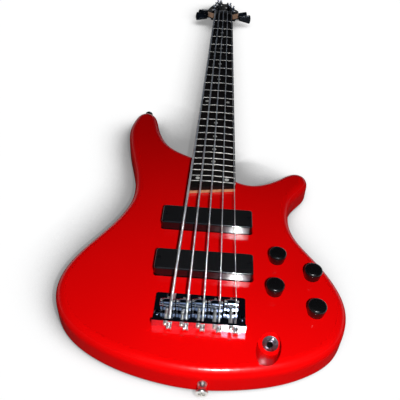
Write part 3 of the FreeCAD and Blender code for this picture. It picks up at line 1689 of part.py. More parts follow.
def make_jack_socket():
    """The output socket in the scoop's floor, with its washer and nut."""
    bush = rod("jack_bush", "jack_bush_radius", "jack_wall + jack_bush_rise", z="-jack_wall")
    can = rod("jack_can", "jack_body_radius", "jack_body_long", z="-jack_wall - jack_body_long")
    bore_low = "jack_bush_rise - jack_bore_long"
    bore = rod("jack_bore", "jack_bore_radius", "jack_bore_long + overrun", z=bore_low)
    socket = cut("jack_barrel", fuse("jack_joined", bush, can), bore)
    washer = rod("jack_washer_disc", "jack_washer_radius", "jack_washer_high")
    nut = rod("jack_nut_disc", "jack_nut_radius", "jack_nut_high", z="jack_washer_high")
    rings = []
    for ring, high, low in ((washer, "jack_washer_high", "0"), (nut, "jack_nut_high", "jack_washer_high")):
        hole = rod("jack_ring_hole", "jack_bush_radius + screw_gap", high, z=low)
        rings.append(cut("jack_ring", ring, hole))
    whole = group("jack_group", socket, *rings)
    whole.Placement = jack_frame()
    node("jack_socket", whole)


def strap_button(label, spot, way):
    """A turned strap button on the body's edge, held by its screw."""
    long = size("strap_long")
    head = size("strap_head_thick")
    base = size("strap_base_radius")
    waist = size("strap_waist_radius")
    rim = size("strap_head_radius")
    sink = size("strap_screw_sink")
    outline = [
        Vector(0, 0, 0), Vector(base, 0, 0), Vector(waist, 0, long / 3), Vector(waist, 0, long / 2),
        Vector(rim, 0, long - head), Vector(rim, 0, long - head / 3), Vector(rim - head / 3, 0, long),
        Vector(0, 0, long), Vector(0, 0, 0),
    ]
    turned = Part.Face(Part.makePolygon(outline)).revolve(Vector(), Vector(0, 0, 1), 360)
    gap = size("screw_gap")
    shank = size("strap_screw_radius")
    screw_head = size("strap_screw_head")
    turned = turned.cut(Part.makeCylinder(shank + gap, long))
    turned = turned.cut(Part.makeCylinder(screw_head + gap, sink, Vector(0, 0, long - sink)))
    deep = size("strap_screw_deep") - gap
    screw = Part.makeCylinder(shank, deep + long - sink, Vector(0, 0, -deep))
    screw = screw.fuse(Part.makeCylinder(screw_head, sink / 2, Vector(0, 0, long - sink))).removeSplitter()
    frame = Placement(spot, Rotation(Vector(0, 0, 1), way))
    node(label, feature(label, Part.makeCompound([turned, screw]), frame))


def make_strap_buttons():
    """The strap buttons on the tail and on the bass horn."""
    for label, (spot, way) in zip(("tail_strap_button", "horn_strap_button"), strap_places()):
        strap_button(label, spot, way)


def build():
    """Make every node."""
    make_body()
    make_neck()
    make_headstock_face()
    make_fretboard()
    make_frets()
    make_position_dots()
    make_nut()
    make_truss_rod()
    make_truss_rod_cover()
    make_cover_screws()
    make_neck_fasteners()
    make_bridge_plate()
    make_bridge_screws()
    make_saddle_springs()
    make_tuners()
    for name in STRINGS:
        make_string(name)
        make_saddle(name)
        make_intonation_screw(name)
    for name in ("neck", "bridge"):
        make_pickup(name)
    for knob in KNOB_SHARES:
        make_knob(knob)
    make_pots()
    make_control_cover()
    make_battery()
    make_preamp_board()
    make_pickup_leads()
    make_jack_socket()
    make_strap_buttons()
    DOC.recompute()


def check():
    """Stop if any object failed to compute or any node's shape is missing or broken."""
    for thing in DOC.Objects:
        if {"Invalid", "Error"} & set(thing.State):
            raise RuntimeError(f"{thing.Name} failed: {thing.State}")
    for label, thing in NODES.items():
        if thing.Shape.isNull() or not thing.Shape.isValid() or not thing.Shape.Solids:
            raise RuntimeError(f"{label} has no valid shape")


def export():
    """Write each node to its own file."""
    os.makedirs("parts", exist_ok=True)
    for label, thing in NODES.items():
        thing.Shape.exportStep(f"parts/{label}.step")
        bounds = thing.Shape.BoundBox
        print(f"{label}: {len(thing.Shape.Solids)} solids, {thing.Shape.Volume / 1000:.2f} cm3, "
              f"x {bounds.XMin:.1f} to {bounds.XMax:.1f}, y {bounds.YMin:.1f} to {bounds.YMax:.1f}, "
              f"z {bounds.ZMin:.1f} to {bounds.ZMax:.1f}")


build()
check()
export()
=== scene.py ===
"""Looks of a five-string electric bass that lies on its back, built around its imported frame.

Sizes in the classes are millimetres in the part's own frame: +X to the treble side, +Y to the
headstock, +Z out of the front, with the origin at the end of the scale, on the flat back.
"""

import logging
import math
from dataclasses import dataclass, field
from enum import Enum
from typing import Any, Callable, Iterable, Sequence

import bpy
import numpy as np
from mathutils import Euler, Matrix, Vector


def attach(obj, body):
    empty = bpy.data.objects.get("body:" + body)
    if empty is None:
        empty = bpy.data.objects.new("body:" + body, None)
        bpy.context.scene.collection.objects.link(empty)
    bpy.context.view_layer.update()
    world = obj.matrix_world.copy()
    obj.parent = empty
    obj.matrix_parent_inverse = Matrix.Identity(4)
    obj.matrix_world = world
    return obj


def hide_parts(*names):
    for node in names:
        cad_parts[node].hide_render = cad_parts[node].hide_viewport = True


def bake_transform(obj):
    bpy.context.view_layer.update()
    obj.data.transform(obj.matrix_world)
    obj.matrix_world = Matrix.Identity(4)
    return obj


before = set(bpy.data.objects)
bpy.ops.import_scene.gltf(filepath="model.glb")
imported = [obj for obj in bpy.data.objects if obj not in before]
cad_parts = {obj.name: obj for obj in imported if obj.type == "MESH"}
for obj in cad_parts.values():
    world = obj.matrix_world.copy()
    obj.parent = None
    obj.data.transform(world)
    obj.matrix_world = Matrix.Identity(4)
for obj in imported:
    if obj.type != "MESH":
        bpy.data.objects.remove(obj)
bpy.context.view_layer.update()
MM = 0.001
TURN = 2 * math.pi
ROOT = "bass"
LOG = logging.getLogger("bass")
# A ring on the axis keeps this radius, so that its points stay apart
TIP_RADIUS = 0.001
# Half the width of a cross recess's arm, as a share of its reach
CROSS_ARM = 0.24
# Half the depth of a thread, as a share of its radius, and the rings drawn in one turn
THREAD_SWING, THREAD_RINGS = 0.07, 5
# Corners of a solid that agree to a hundredth of a millimetre are one
WELD_PER_MM = 100
# Where most values of a noise texture lie
NOISE_SPREAD = (0.3, 0.7)

Ring = list[Vector]
Skin = tuple[list[Vector], list[tuple[int, ...]]]
RadiusAt = Callable[[float], float]


# Small tools
def linear(hex_colour: str) -> tuple[float, float, float, float]:
    """Turn an sRGB hex colour into the linear colour that a shader takes.

    Args:
        hex_colour: six hex digits after a hash sign.
    Returns:
        Linear red, green, blue and an alpha of one.
    """
    parts = [int(hex_colour[place:place + 2], 16) / 255 for place in (1, 3, 5)]
    low = [part / 12.92 if part <= 0.04045 else ((part + 0.055) / 1.055) ** 2.4 for part in parts]
    return (*low, 1.0)


def per(millimetres: float) -> float:
    """Texture scale whose features are about this many millimetres across."""
    return 1 / (millimetres * MM)


def add_node(tree: bpy.types.NodeTree, kind: str, inputs: dict[Any, Any] | None = None,
             **settings: Any) -> bpy.types.Node:
    """Add one shader node with its settings, values and links.

    Args:
        tree: node tree that gets the node.
        kind: the node's type, without its ShaderNode prefix.
        inputs: socket names or numbers, each with a value or with the output that feeds it.
        settings: the node's own properties.
    Returns:
        The new node.
    """
    node = tree.nodes.new("ShaderNode" + kind)
    for name, value in settings.items():
        setattr(node, name, value)
    for socket, value in (inputs or {}).items():
        if isinstance(value, bpy.types.NodeSocket):
            tree.links.new(value, node.inputs[socket])
        else:
            node.inputs[socket].default_value = value
    return node


def numbered(*values: Any) -> dict[int, Any]:
    """Inputs of a node by the number of the socket, from zero."""
    return dict(enumerate(values))


def circle(radius: float | RadiusAt, height: float, sides: int = 48) -> Ring:
    """A ring of points about the Z axis.

    Args:
        radius: one radius, or the radius at each angle.
        height: the ring's place on Z.
        sides: number of points.
    Returns:
        The ring's points.
    """
    points = []
    for side in range(sides):
        angle = TURN * side / sides
        reach = radius(angle) if callable(radius) else radius
        points.append(Vector((reach * math.cos(angle), reach * math.sin(angle), height)))
    return points


class Drive(Enum):
    """The tool that a screw's head takes."""

    CROSS = "cross"
    HEX = "hex"

    def outline(self, reach: float) -> RadiusAt:
        """The recess's radius at each angle.

        Args:
            reach: half the recess's greatest width.
        Returns:
            A function from angle to radius.
        """
        if self is Drive.HEX:
            corner = TURN / 12
            return lambda angle: reach * math.cos(corner) / math.cos(angle % (2 * corner) - corner)
        period = TURN / 4
        half = reach * CROSS_ARM

        def arm(angle: float) -> float:
            """Radius of the nearest arm at an angle."""
            off = (angle + period / 2) % period - period / 2
            side = abs(math.sin(off))
            return min(reach, half / side) if side > half / reach else reach

        return arm


class Ends(Enum):
    """What happens at the first and last rings of a skin."""

    CAPPED = "capped"
    JOINED = "joined"


def loft(rings: Sequence[Ring], ends: Ends = Ends.CAPPED) -> Skin:
    """Join rings of equal length into a skin.

    Args:
        rings: the rings in order, each turning the same way.
        ends: whether the first and last rings are capped or joined to each other.
    Returns:
        Points and faces.
    """
    count = len(rings[0])
    points = [point for ring in rings for point in ring]
    faces: list[tuple[int, ...]] = []
    joins = len(rings) if ends is Ends.JOINED else len(rings) - 1
    for level in range(joins):
        low, high = level * count, (level + 1) % len(rings) * count
        for side in range(count):
            after = (side + 1) % count
            faces.append((low + side, low + after, high + after, high + side))
    if ends is Ends.CAPPED:
        last = (len(rings) - 1) * count
        faces.append(tuple(reversed(range(count))))
        faces.append(tuple(range(last, last + count)))
    return points, faces


def rounding(radius: float, centre: tuple[float, float], start: float, end: float,
             steps: int = 6) -> list[tuple[float, float]]:
    """Points on an arc of a turned profile.

    Args:
        radius: the arc's radius.
        centre: its centre, as distance from the axis and height.
        start: first angle in degrees.
        end: last angle in degrees.
        steps: number of steps.
    Returns:
        Distance and height of each point.
    """
    spread = [math.radians(start + (end - start) * step / steps) for step in range(steps + 1)]
    return [(centre[0] + radius * math.cos(a), centre[1] + radius * math.sin(a)) for a in spread]


def turned(profile: Iterable[tuple[float, float]], sides: int = 48) -> list[Ring]:
    """Rings of a turned piece about the Z axis.

    Args:
        profile: distance from the axis and height of each ring.
        sides: points in a ring.
    Returns:
        The rings.
    """
    return [circle(max(reach, TIP_RADIUS), height, sides) for reach, height in profile]


def thread(radius: float, start: float, end: float, pitch: float = 0.9, sides: int = 14) -> Skin:
    """A threaded shank about the Z axis.

    Args:
        radius: the thread's outer radius.
        start: its lower end.
        end: its upper end.
        pitch: rise of one turn. Real ones of 0.5 to 0.7 mm are drawn coarser, so that they show.
        sides: points in a ring.
    Returns:
        Points and faces.
    """
    steps = max(2, round((end - start) / pitch * THREAD_RINGS))
    rings = []
    for step in range(steps + 1):
        height = start + (end - start) * step / steps
        turn = TURN * height / pitch
        rings.append(circle(
            lambda angle: radius * (1 - THREAD_SWING * (1 - math.cos(turn - angle))),
            height, sides))
    return loft(rings)


def hex_nut(radius: float, high: float, bore: float, chamfer: float = 0.14,
            face_share: float = 0.97, sides: int = 72) -> Skin:
    """A hexagon nut about the Z axis, chamfered at both faces.

    Args:
        radius: half its width across corners.
        high: its thickness, up from zero.
        bore: radius of its hole.
        chamfer: height of a chamfer, as a share of the thickness.
        face_share: radius of a flat face, as a share of half the width across flats.
        sides: points in a ring.
    Returns:
        Points and faces.
    """
    outline = Drive.HEX.outline(radius)
    face = face_share * radius * math.cos(TURN / 12)
    low, top = ([circle(bore, height, sides), circle(face, height, sides)] for height in (0, high))
    corners = [circle(outline, high * share, sides) for share in (chamfer, 1 - chamfer)]
    return loft([*low, *corners, *reversed(top)], Ends.JOINED)


@dataclass(frozen=True)
class ScrewHead:
    """A domed screw head about the Z axis, up from zero, with the recess that its driver takes."""

    radius: float
    high: float
    drive: Drive = Drive.CROSS
    reach_share: float = 0.62
    deep_share: float = 0.7
    rim_share: float = 0.35
    crown_steps: int = 5
    # Rings down the recess: share of its outline and share of its depth
    recess: tuple[tuple[float, float], ...] = ((0.97, 0.0), (0.85, 1.0), (0.3, 1.12))

    def skin(self, sides: int = 48) -> Skin:
        """The head's points and faces.

        Args:
            sides: points in a ring.
        Returns:
            Points and faces.
        """
        reach = self.radius * self.reach_share
        rim = self.high * self.rim_share
        rings = turned([(self.radius, 0), (self.radius, rim)], sides)
        for step in range(1, self.crown_steps + 1):
            out = self.radius + (reach - self.radius) * step / self.crown_steps
            rise = (1 - (out / self.radius) ** 2) / (1 - self.reach_share ** 2)
            rings.append(circle(out, rim + (self.high - rim) * rise, sides))
        outline = self.drive.outline(reach)
        deep = self.high * self.deep_share
        for share, drop in self.recess:
            height = self.high - deep * drop
            rings.append(circle(lambda angle: share * outline(angle), height, sides))
        return loft(rings)


def islands(name: str) -> list[list[Vector]]:
    """Corner points of each separate solid of a CAD node.

    Args:
        name: the node.
    Returns:
        For each solid its points, in millimetres.
    """
    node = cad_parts[name]
    corners = [node.matrix_world @ corner.co / MM for corner in node.data.vertices]
    places: dict[tuple[int, ...], int] = {}
    joined = [places.setdefault(tuple(round(value * WELD_PER_MM) for value in corner), len(places))
              for corner in corners]
    leader = list(range(len(places)))

    def lead(place: int) -> int:
        """First of the places that are joined to this one."""
        while leader[place] != place:
            leader[place] = leader[leader[place]]
            place = leader[place]
        return place

    for edge in node.data.edges:
        first, second = (lead(joined[corner]) for corner in edge.vertices)
        leader[first] = second
    solids: dict[int, list[Vector]] = {}
    for corner, place in zip(corners, joined):
        solids.setdefault(lead(place), []).append(corner)
    return list(solids.values())


def pointing(spot: Sequence[float], way: Sequence[float], spin: float = 0) -> Matrix:
    """A frame at a spot whose Z axis points a way.

    Args:
        spot: the frame's origin.
        way: direction of its Z axis.
        spin: turn about that axis, in degrees.
    Returns:
        The frame as a matrix.
    """
    facing = Vector(way).to_track_quat("Z", "Y").to_matrix().to_4x4()
    return Matrix.Translation(Vector(spot)) @ facing @ Matrix.Rotation(math.radians(spin), 4, "Z")


class Mould:
    """Collects skins in millimetres and turns them into one piece."""

    def __init__(self) -> None:
        """Start empty."""
        self.points: list[Vector] = []
        self.faces: list[tuple[int, ...]] = []
        self.kinds: list[int] = []

    def add(self, skin: Skin, where: Matrix | None = None, kind: int = 0) -> "Mould":
        """Add a skin.

        Args:
            skin: points and faces.
            where: the frame that the skin is given in, if not the part's own.
            kind: which of the piece's finishes it takes.
        Returns:
            This mould.
        """
        base = len(self.points)
        points, faces = skin
        self.points += [where @ point if where else point for point in points]
        self.faces += [tuple(base + corner for corner in face) for face in faces]
        self.kinds += [kind] * len(faces)
        return self

    def piece(self, name: str, finishes: Sequence["Finish"], body: str | None, slot: str,
              replaces: Sequence[str] = (), crease: float = 40) -> bpy.types.Object:
        """Make the piece.

        Args:
            name: the piece's name.
            finishes: its finishes, by kind.
            body: the body it rides on, or None.
            slot: the record's material slot; not used.
            replaces: nodes that it stands for.
            crease: angle in degrees above which an edge stays sharp.
        Returns:
            The new object.
        """
        mesh = bpy.data.meshes.new(name)
        mesh.from_pydata([point * MM for point in self.points], [], self.faces)
        for finish in finishes:
            mesh.materials.append(finish.material())
        mesh.polygons.foreach_set("material_index", self.kinds)
        mesh.shade_smooth()
        mesh.set_sharp_from_angle(angle=math.radians(crease))
        thing = bpy.data.objects.new(name, mesh)
        bpy.context.scene.collection.objects.link(thing)
        if body:
            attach(thing, body)
        if replaces:
            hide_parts(*replaces)
        LOG.info("%s: %d faces", name, len(self.faces))
        return thing


# Finishes
@dataclass(frozen=True)
class Finish:
    """A surface that becomes one material, named for what the real one is made of."""

    name: str

    def material(self) -> bpy.types.Material:
        """The material, made once."""
        made = bpy.data.materials.get(self.name)
        if made is None:
            made = bpy.data.materials.new(self.name)
            made.use_nodes = True
            tree = made.node_tree
            spot = add_node(tree, "TexCoord").outputs["Object"]
            self.paint(tree, tree.nodes["Principled BSDF"], spot)
        return made

    def paint(self, tree: bpy.types.NodeTree, shader: bpy.types.Node,
              spot: bpy.types.NodeSocket) -> None:
        """Set the shader up.

        Args:
            tree: the material's nodes.
            shader: its principled shader.
            spot: the place on the object, in metres.
        """
        raise NotImplementedError

    @staticmethod
    def steady(shader: bpy.types.Node, **values: Any) -> None:
        """Set values that are the same all over; underscores stand for spaces."""
        for name, value in values.items():
            shader.inputs[name.replace("_", " ")].default_value = value

    @staticmethod
    def feed(tree: bpy.types.NodeTree, shader: bpy.types.Node,
             **sources: bpy.types.NodeSocket) -> None:
        """Link what varies over the surface; underscores stand for spaces."""
        for name, source in sources.items():
            tree.links.new(source, shader.inputs[name.replace("_", " ")])


@dataclass(frozen=True)
class PolyesterLacquer(Finish):
    """Sprayed and buffed polyester: deep even colour under a wet gloss with faint orange peel.

    The clear skin alone shines; the pigment under it has no shine of its own. The coat shines
    fully on faces that look up or to the head, as the scoop of the jack does; on the other walls
    its shine is cut to a painted shade that keeps them dark red, and they are rougher.
    """

    bright: str
    deep: str
    shine: float = 0.8
    # Shine of the walls, kept low as a painted shade
    painted_shade_wall_shine: float = 0.05
    wall_dull: float = 0.22
    shine_way: tuple[float, float, float] = (0.0, 0.6, 0.8)
    # How far a face has to look that way to get its shine, and to lose its dullness
    shine_from: tuple[float, float] = (0.62, 0.93)
    clear_from: tuple[float, float] = (0.7, 0.99)
    polish: tuple[float, float] = (0.08, 0.13)
    pigment_rough: float = 0.6
    peel_mm: float = 3.0
    peel_depth_mm: float = 0.004
    peel_strength: float = 0.6
    haze_mm: float = 40.0
    cloud_mm: float = 160.0

    def paint(self, tree: bpy.types.NodeTree, shader: bpy.types.Node,
              spot: bpy.types.NodeSocket) -> None:
        """Set up the clouded colour, the hazed gloss and the orange peel."""
        cloud = add_node(tree, "TexNoise", {"Vector": spot, "Scale": per(self.cloud_mm),
                                            "Detail": 2.0})
        colour = add_node(tree, "Mix", {0: cloud.outputs[0], 6: linear(self.deep),
                                        7: linear(self.bright)}, data_type="RGBA")
        haze = add_node(tree, "TexNoise", {"Vector": spot, "Scale": per(self.haze_mm),
                                           "Detail": 4.0})
        rough = add_node(tree, "MapRange", numbered(haze.outputs[0], *NOISE_SPREAD, *self.polish))
        peel = add_node(tree, "TexNoise", {"Vector": spot, "Scale": per(self.peel_mm),
                                           "Detail": 1.0})
        bump = add_node(tree, "Bump", {"Height": peel.outputs[0], "Strength": self.peel_strength,
                                       "Distance": self.peel_depth_mm * MM})
        facing = add_node(tree, "NewGeometry").outputs["Normal"]
        high = add_node(tree, "SeparateXYZ", {0: facing}).outputs["Z"]
        # The coat's shine by which way a face looks: full on the front, low on the walls as a
        # painted shade that keeps them dark red
        lean = add_node(tree, "VectorMath", {0: facing, 1: self.shine_way},
                        operation="DOT_PRODUCT")
        shine_facing = add_node(tree, "Math", {0: high, 1: lean.outputs["Value"]}, operation="MAXIMUM")
        buffed = add_node(tree, "MapRange", numbered(shine_facing.outputs[0], *self.shine_from,
                                                     self.painted_shade_wall_shine, self.shine))
        edge = add_node(tree, "MapRange", numbered(shine_facing.outputs[0], *self.clear_from,
                                                   self.wall_dull, 0.0))
        dull = add_node(tree, "Math", {0: rough.outputs[0], 1: edge.outputs[0]}, operation="ADD")
        self.feed(tree, shader, Base_Color=colour.outputs[2], Coat_Weight=buffed.outputs[0],
                  Coat_Roughness=dull.outputs[0], Coat_Normal=bump.outputs[0])
        self.steady(shader, Specular_IOR_Level=0.0, Roughness=self.pigment_rough, Coat_IOR=1.5)


@dataclass(frozen=True)
class PlanedWood(Finish):
    """Wood cut along the grain: long streaks, darker pores drawn out along Y, an oiled sheen.

    Real pores are 0.1 to 0.3 mm across; they are drawn coarser, so that they show.
    """

    pale: str
    dark: str
    pore: str
    streak_mm: float
    pore_mm: float
    pore_share: float
    gloss: tuple[float, float]
    stretch: float = 0.06
    sheen: float = 0.5
    streak_spread: tuple[float, float] = (0.35, 0.65)
    pore_spread: tuple[float, float] = (0.6, 0.68)
    pore_deep_mm: float = 0.12

    def paint(self, tree: bpy.types.NodeTree, shader: bpy.types.Node,
              spot: bpy.types.NodeSocket) -> None:
        """Set up streaks, pores and the oiled sheen."""
        along = add_node(tree, "Mapping", {"Vector": spot, "Scale": (1.0, self.stretch, 1.0)})
        grain = along.outputs[0]
        streak = add_node(tree, "TexNoise", {"Vector": grain, "Scale": per(self.streak_mm),
                                             "Detail": 6.0, "Roughness": 0.6, "Distortion": 0.4})
        band = add_node(tree, "MapRange", numbered(streak.outputs[0], *self.streak_spread))
        colour = add_node(tree, "Mix", {0: band.outputs[0], 6: linear(self.dark),
                                        7: linear(self.pale)}, data_type="RGBA")
        fine = add_node(tree, "TexNoise", {"Vector": grain, "Scale": per(self.pore_mm),
                                           "Detail": 2.0})
        pit = add_node(tree, "MapRange", numbered(fine.outputs[0], *self.pore_spread, 0.0,
                                                  self.pore_share))
        pored = add_node(tree, "Mix", {0: pit.outputs[0], 6: colour.outputs[2],
                                       7: linear(self.pore)}, data_type="RGBA")
        rough = add_node(tree, "MapRange", numbered(streak.outputs[0], *NOISE_SPREAD, *self.gloss))
        bump = add_node(tree, "Bump", {"Height": pit.outputs[0], "Distance": self.pore_deep_mm * MM,
                                       "Strength": 0.5}, invert=True)
        self.feed(tree, shader, Base_Color=pored.outputs[2], Roughness=rough.outputs[0],
                  Normal=bump.outputs[0])
        self.steady(shader, IOR=1.48, Specular_IOR_Level=self.sheen)


@dataclass(frozen=True)
class MouldedPlastic(Finish):
    """Injection-moulded plastic: a fine spark-eroded grain, shinier where hands have rubbed it.

    Faces that look up can be duller than the sides, as the mould's floor is often textured. Real
    grain is under 0.1 mm across; it is drawn coarser, so that it shows.
    """

    colour: str
    rubbed: str
    grain_mm: float
    grain_depth_mm: float
    gloss: tuple[float, float]
    rub_mm: float = 14.0
    top_dull: float = 0.0
    top_from: tuple[float, float] = (0.75, 0.98)
    shine: float = 0.5

    def paint(self, tree: bpy.types.NodeTree, shader: bpy.types.Node,
              spot: bpy.types.NodeSocket) -> None:
        """Set up the grain and the rubbed patches."""
        rub = add_node(tree, "TexNoise", {"Vector": spot, "Scale": per(self.rub_mm), "Detail": 3.0})
        colour = add_node(tree, "Mix", {0: rub.outputs[0], 6: linear(self.colour),
                                        7: linear(self.rubbed)}, data_type="RGBA")
        rough = add_node(tree, "MapRange", numbered(rub.outputs[0], *NOISE_SPREAD,
                                                    *reversed(self.gloss)))
        facing = add_node(tree, "NewGeometry").outputs["Normal"]
        up = add_node(tree, "SeparateXYZ", {0: facing}).outputs["Z"]
        top = add_node(tree, "MapRange", numbered(up, *self.top_from, 0.0, self.top_dull))
        dull = add_node(tree, "Math", {0: rough.outputs[0], 1: top.outputs[0]}, operation="ADD")
        grain = add_node(tree, "TexNoise", {"Vector": spot, "Scale": per(self.grain_mm),
                                            "Detail": 2.0})
        bump = add_node(tree, "Bump", {"Height": grain.outputs[0], "Strength": 0.5,
                                       "Distance": self.grain_depth_mm * MM})
        self.feed(tree, shader, Base_Color=colour.outputs[2], Roughness=dull.outputs[0],
                  Normal=bump.outputs[0])
        self.steady(shader, IOR=1.5, Specular_IOR_Level=self.shine)


@dataclass(frozen=True)
class PlatedMetal(Finish):
    """Polished metal under plating: mirror-bright, broken by polishing lines and dull smears.

    Real polishing lines are some 0.02 mm apart; they are drawn coarser, so that they show.
    """

    colour: str
    dull: str
    gloss: tuple[float, float]
    line_mm: float = 0.8
    line_stretch: float = 0.05
    line_deep_mm: float = 0.004
    line_strength: float = 0.15
    smear_mm: float = 9.0
    dull_spread: tuple[float, float] = (0.4, 0.72)
    gloss_spread: tuple[float, float] = (0.35, 0.75)

    def paint(self, tree: bpy.types.NodeTree, shader: bpy.types.Node,
              spot: bpy.types.NodeSocket) -> None:
        """Set up the smears and the polishing lines."""
        smear = add_node(tree, "TexNoise", {"Vector": spot, "Scale": per(self.smear_mm),
                                            "Detail": 4.0})
        share = add_node(tree, "MapRange", numbered(smear.outputs[0], *self.dull_spread))
        colour = add_node(tree, "Mix", {0: share.outputs[0], 6: linear(self.colour),
                                        7: linear(self.dull)}, data_type="RGBA")
        rough = add_node(tree, "MapRange", numbered(smear.outputs[0], *self.gloss_spread,
                                                    *self.gloss))
        across = add_node(tree, "Mapping", {"Vector": spot, "Scale": (self.line_stretch, 1.0, 1.0)})
        line = add_node(tree, "TexNoise", {"Vector": across.outputs[0], "Scale": per(self.line_mm),
                                           "Detail": 2.0})
        bump = add_node(tree, "Bump", {"Height": line.outputs[0], "Strength": self.line_strength,
                                       "Distance": self.line_deep_mm * MM})
        self.feed(tree, shader, Base_Color=colour.outputs[2], Roughness=rough.outputs[0],
                  Normal=bump.outputs[0])
        self.steady(shader, Metallic=1.0)


@dataclass(frozen=True)
class Pearloid(Finish):
    """Cast celluloid pearl: milky folds that shift between white and grey under a polish."""

    pale: str
    shade: str
    fold_mm: float = 2.2
    gloss: tuple[float, float] = (0.12, 0.3)

    def paint(self, tree: bpy.types.NodeTree, shader: bpy.types.Node,
              spot: bpy.types.NodeSocket) -> None:
        """Set up the folds."""
        fold = add_node(tree, "TexNoise", {"Vector": spot, "Scale": per(self.fold_mm),
                                           "Detail": 3.0, "Distortion": 2.5})
        colour = add_node(tree, "Mix", {0: fold.outputs[0], 6: linear(self.shade),
                                        7: linear(self.pale)}, data_type="RGBA")
        rough = add_node(tree, "MapRange", numbered(fold.outputs[0], *NOISE_SPREAD, *self.gloss))
        self.feed(tree, shader, Base_Color=colour.outputs[2], Roughness=rough.outputs[0])
        self.steady(shader, IOR=1.53, Sheen_Weight=0.2)


# Sprayed and buffed: one bright red with wet reflections on the front, and walls kept dark by a
# painted shade
RED_LACQUER = PolyesterLacquer("red_polyester_lacquer_over_alder", bright="#DE0405", deep="#D00203")
# A thin coat that wasn't buffed: black with a soft glow
BLACK_FACING = PolyesterLacquer("black_lacquer_over_veneer", bright="#0B0C0D", deep="#060607",
                                shine=0.12, painted_shade_wall_shine=0.12, wall_dull=0.0, polish=(0.25, 0.4),
                                peel_mm=2.0, haze_mm=18.0)
# Sanded and oiled: warm, fine-grained, hardly shiny
MAPLE = PlanedWood("maple_satin_oiled", pale="#CE9C74", dark="#AC7C58", pore="#7A5238",
                   streak_mm=5.0, pore_mm=0.9, pore_share=0.35, gloss=(0.36, 0.5))
# Open-pored and oiled: nearly black, with matt pores
ROSEWOOD = PlanedWood("rosewood_oiled", pale="#181210", dark="#0C0909", pore="#060404",
                      streak_mm=3.0, pore_mm=0.8, pore_share=0.8, gloss=(0.5, 0.66), stretch=0.04,
                      sheen=0.15)
# Moulded with a textured top: matt above, mirror-like on the sides
ABS_BLACK = MouldedPlastic("abs_black_moulded", colour="#070708", rubbed="#0E0E10", grain_mm=0.9,
                           grain_depth_mm=0.001, gloss=(0.06, 0.09), top_dull=0.38)
# Pressed hard resin: deep black with one small soft highlight
KNOB_BLACK = MouldedPlastic("phenolic_black_moulded", colour="#060607", rubbed="#0D0D0E",
                            grain_mm=1.2, grain_depth_mm=0.004, gloss=(0.2, 0.32), rub_mm=7.0,
                            shine=0.3)
# Turned insulator: a dark hole with hardly a glint
BORE_BLACK = MouldedPlastic("nylon_black_insulator", colour="#050505", rubbed="#0B0B0B",
                            grain_mm=1.0, grain_depth_mm=0.004, gloss=(0.4, 0.55))
# Filled with graphite: dark grey, slightly silky where strings rub
GRAPHITE = MouldedPlastic("graphite_filled_nut_plastic", colour="#141414", rubbed="#222223",
                          grain_mm=0.7, grain_depth_mm=0.01, gloss=(0.38, 0.55), rub_mm=4.0)
# Thread wound over the string: black and fibrous
SILK = MouldedPlastic("silk_thread_black", colour="#0B0B0D", rubbed="#151518", grain_mm=0.8,
                      grain_depth_mm=0.04, gloss=(0.34, 0.5))
# Extruded sleeve: dull dark grey
PVC = MouldedPlastic("pvc_sleeve_grey", colour="#2A2A2C", rubbed="#37373A", grain_mm=1.0,
                     grain_depth_mm=0.01, gloss=(0.4, 0.6))
# Screen-printed mask on glass laminate: green with the weave showing through
SOLDER_MASK = MouldedPlastic("solder_mask_green_on_laminate", colour="#0E3A20", rubbed="#17532F",
                             grain_mm=1.6, grain_depth_mm=0.02, gloss=(0.2, 0.35))
# Cast round the coils: brown and a little uneven
RESIN = MouldedPlastic("coil_resin_potted", colour="#3A2314", rubbed="#54341D", grain_mm=1.4,
                       grain_depth_mm=0.03, gloss=(0.3, 0.5))
# Plated and polished: a clear mirror
CHROME = PlatedMetal("chrome_plate_polished", colour="#E9EBEE", dull="#D2D5DA", gloss=(0.04, 0.11))
# Chrome darkened as a painted shade, for chrome that mirrors a dark room: a clear mirror that dims
# what it shows
SHADED_CHROME = PlatedMetal("chrome_plate_painted_shade", colour="#A4ACB8", dull="#8A929E",
                            gloss=(0.04, 0.11))
# Darker still: only bright lights show in it
BLACK_CHROME = PlatedMetal("black_chrome_polished", colour="#5E6673", dull="#434A55",
                           gloss=(0.08, 0.16))
# Barrel-plated: warm and softly bright
NICKEL = PlatedMetal("nickel_plate_on_steel", colour="#E6E4DF", dull="#D0CDC7", gloss=(0.28, 0.4))
# Drawn and filed, then played: a grey glow
NICKEL_SILVER = PlatedMetal("nickel_silver_fret_wire", colour="#A3A19B", dull="#8C8A84",
                            gloss=(0.42, 0.5), smear_mm=5.0)
# Wound wire: a bright line made of many small glints
WOUND_STEEL = PlatedMetal("nickel_wrap_wire_round", colour="#EDEDEC", dull="#DCDCDA",
                          gloss=(0.3, 0.36), smear_mm=6.0)
# Drawn and coiled: softly bright
SPRING_STEEL = PlatedMetal("spring_steel_drawn", colour="#E2E3E4", dull="#C6C7C8",
                           gloss=(0.3, 0.42))
# Passivated: bluish grey with blurred reflections
ZINC = PlatedMetal("zinc_plate_on_steel", colour="#928F96", dull="#706E76", gloss=(0.24, 0.4))
# Dark plating on cast zinc: black with sharp small lights
BLACK_PLATE = PlatedMetal("black_nickel_plate", colour="#1B1D21", dull="#0E0F11", gloss=(0.16, 0.3))
# Oiled oxide: dark grey and matt
BLACK_OXIDE = PlatedMetal("black_oxide_on_steel", colour="#55555A", dull="#3A3A3E",
                          gloss=(0.34, 0.46))
# Lacquered sheet steel: dark with a blurred shine
BATTERY_CAN = PlatedMetal("battery_can_lacquered_steel", colour="#3A3C42", dull="#232529",
                          gloss=(0.3, 0.45))
# Cast in folds and polished: milky white and grey
PEARL = Pearloid("pearl_celluloid", pale="#E4E3DC", shade="#A9AAA6")

STRING_NAMES = ("b", "e", "a", "d", "g")
# Place of each pickup along the scale
PICKUP_ROWS = {"neck": 139.0, "bridge": 57.7}


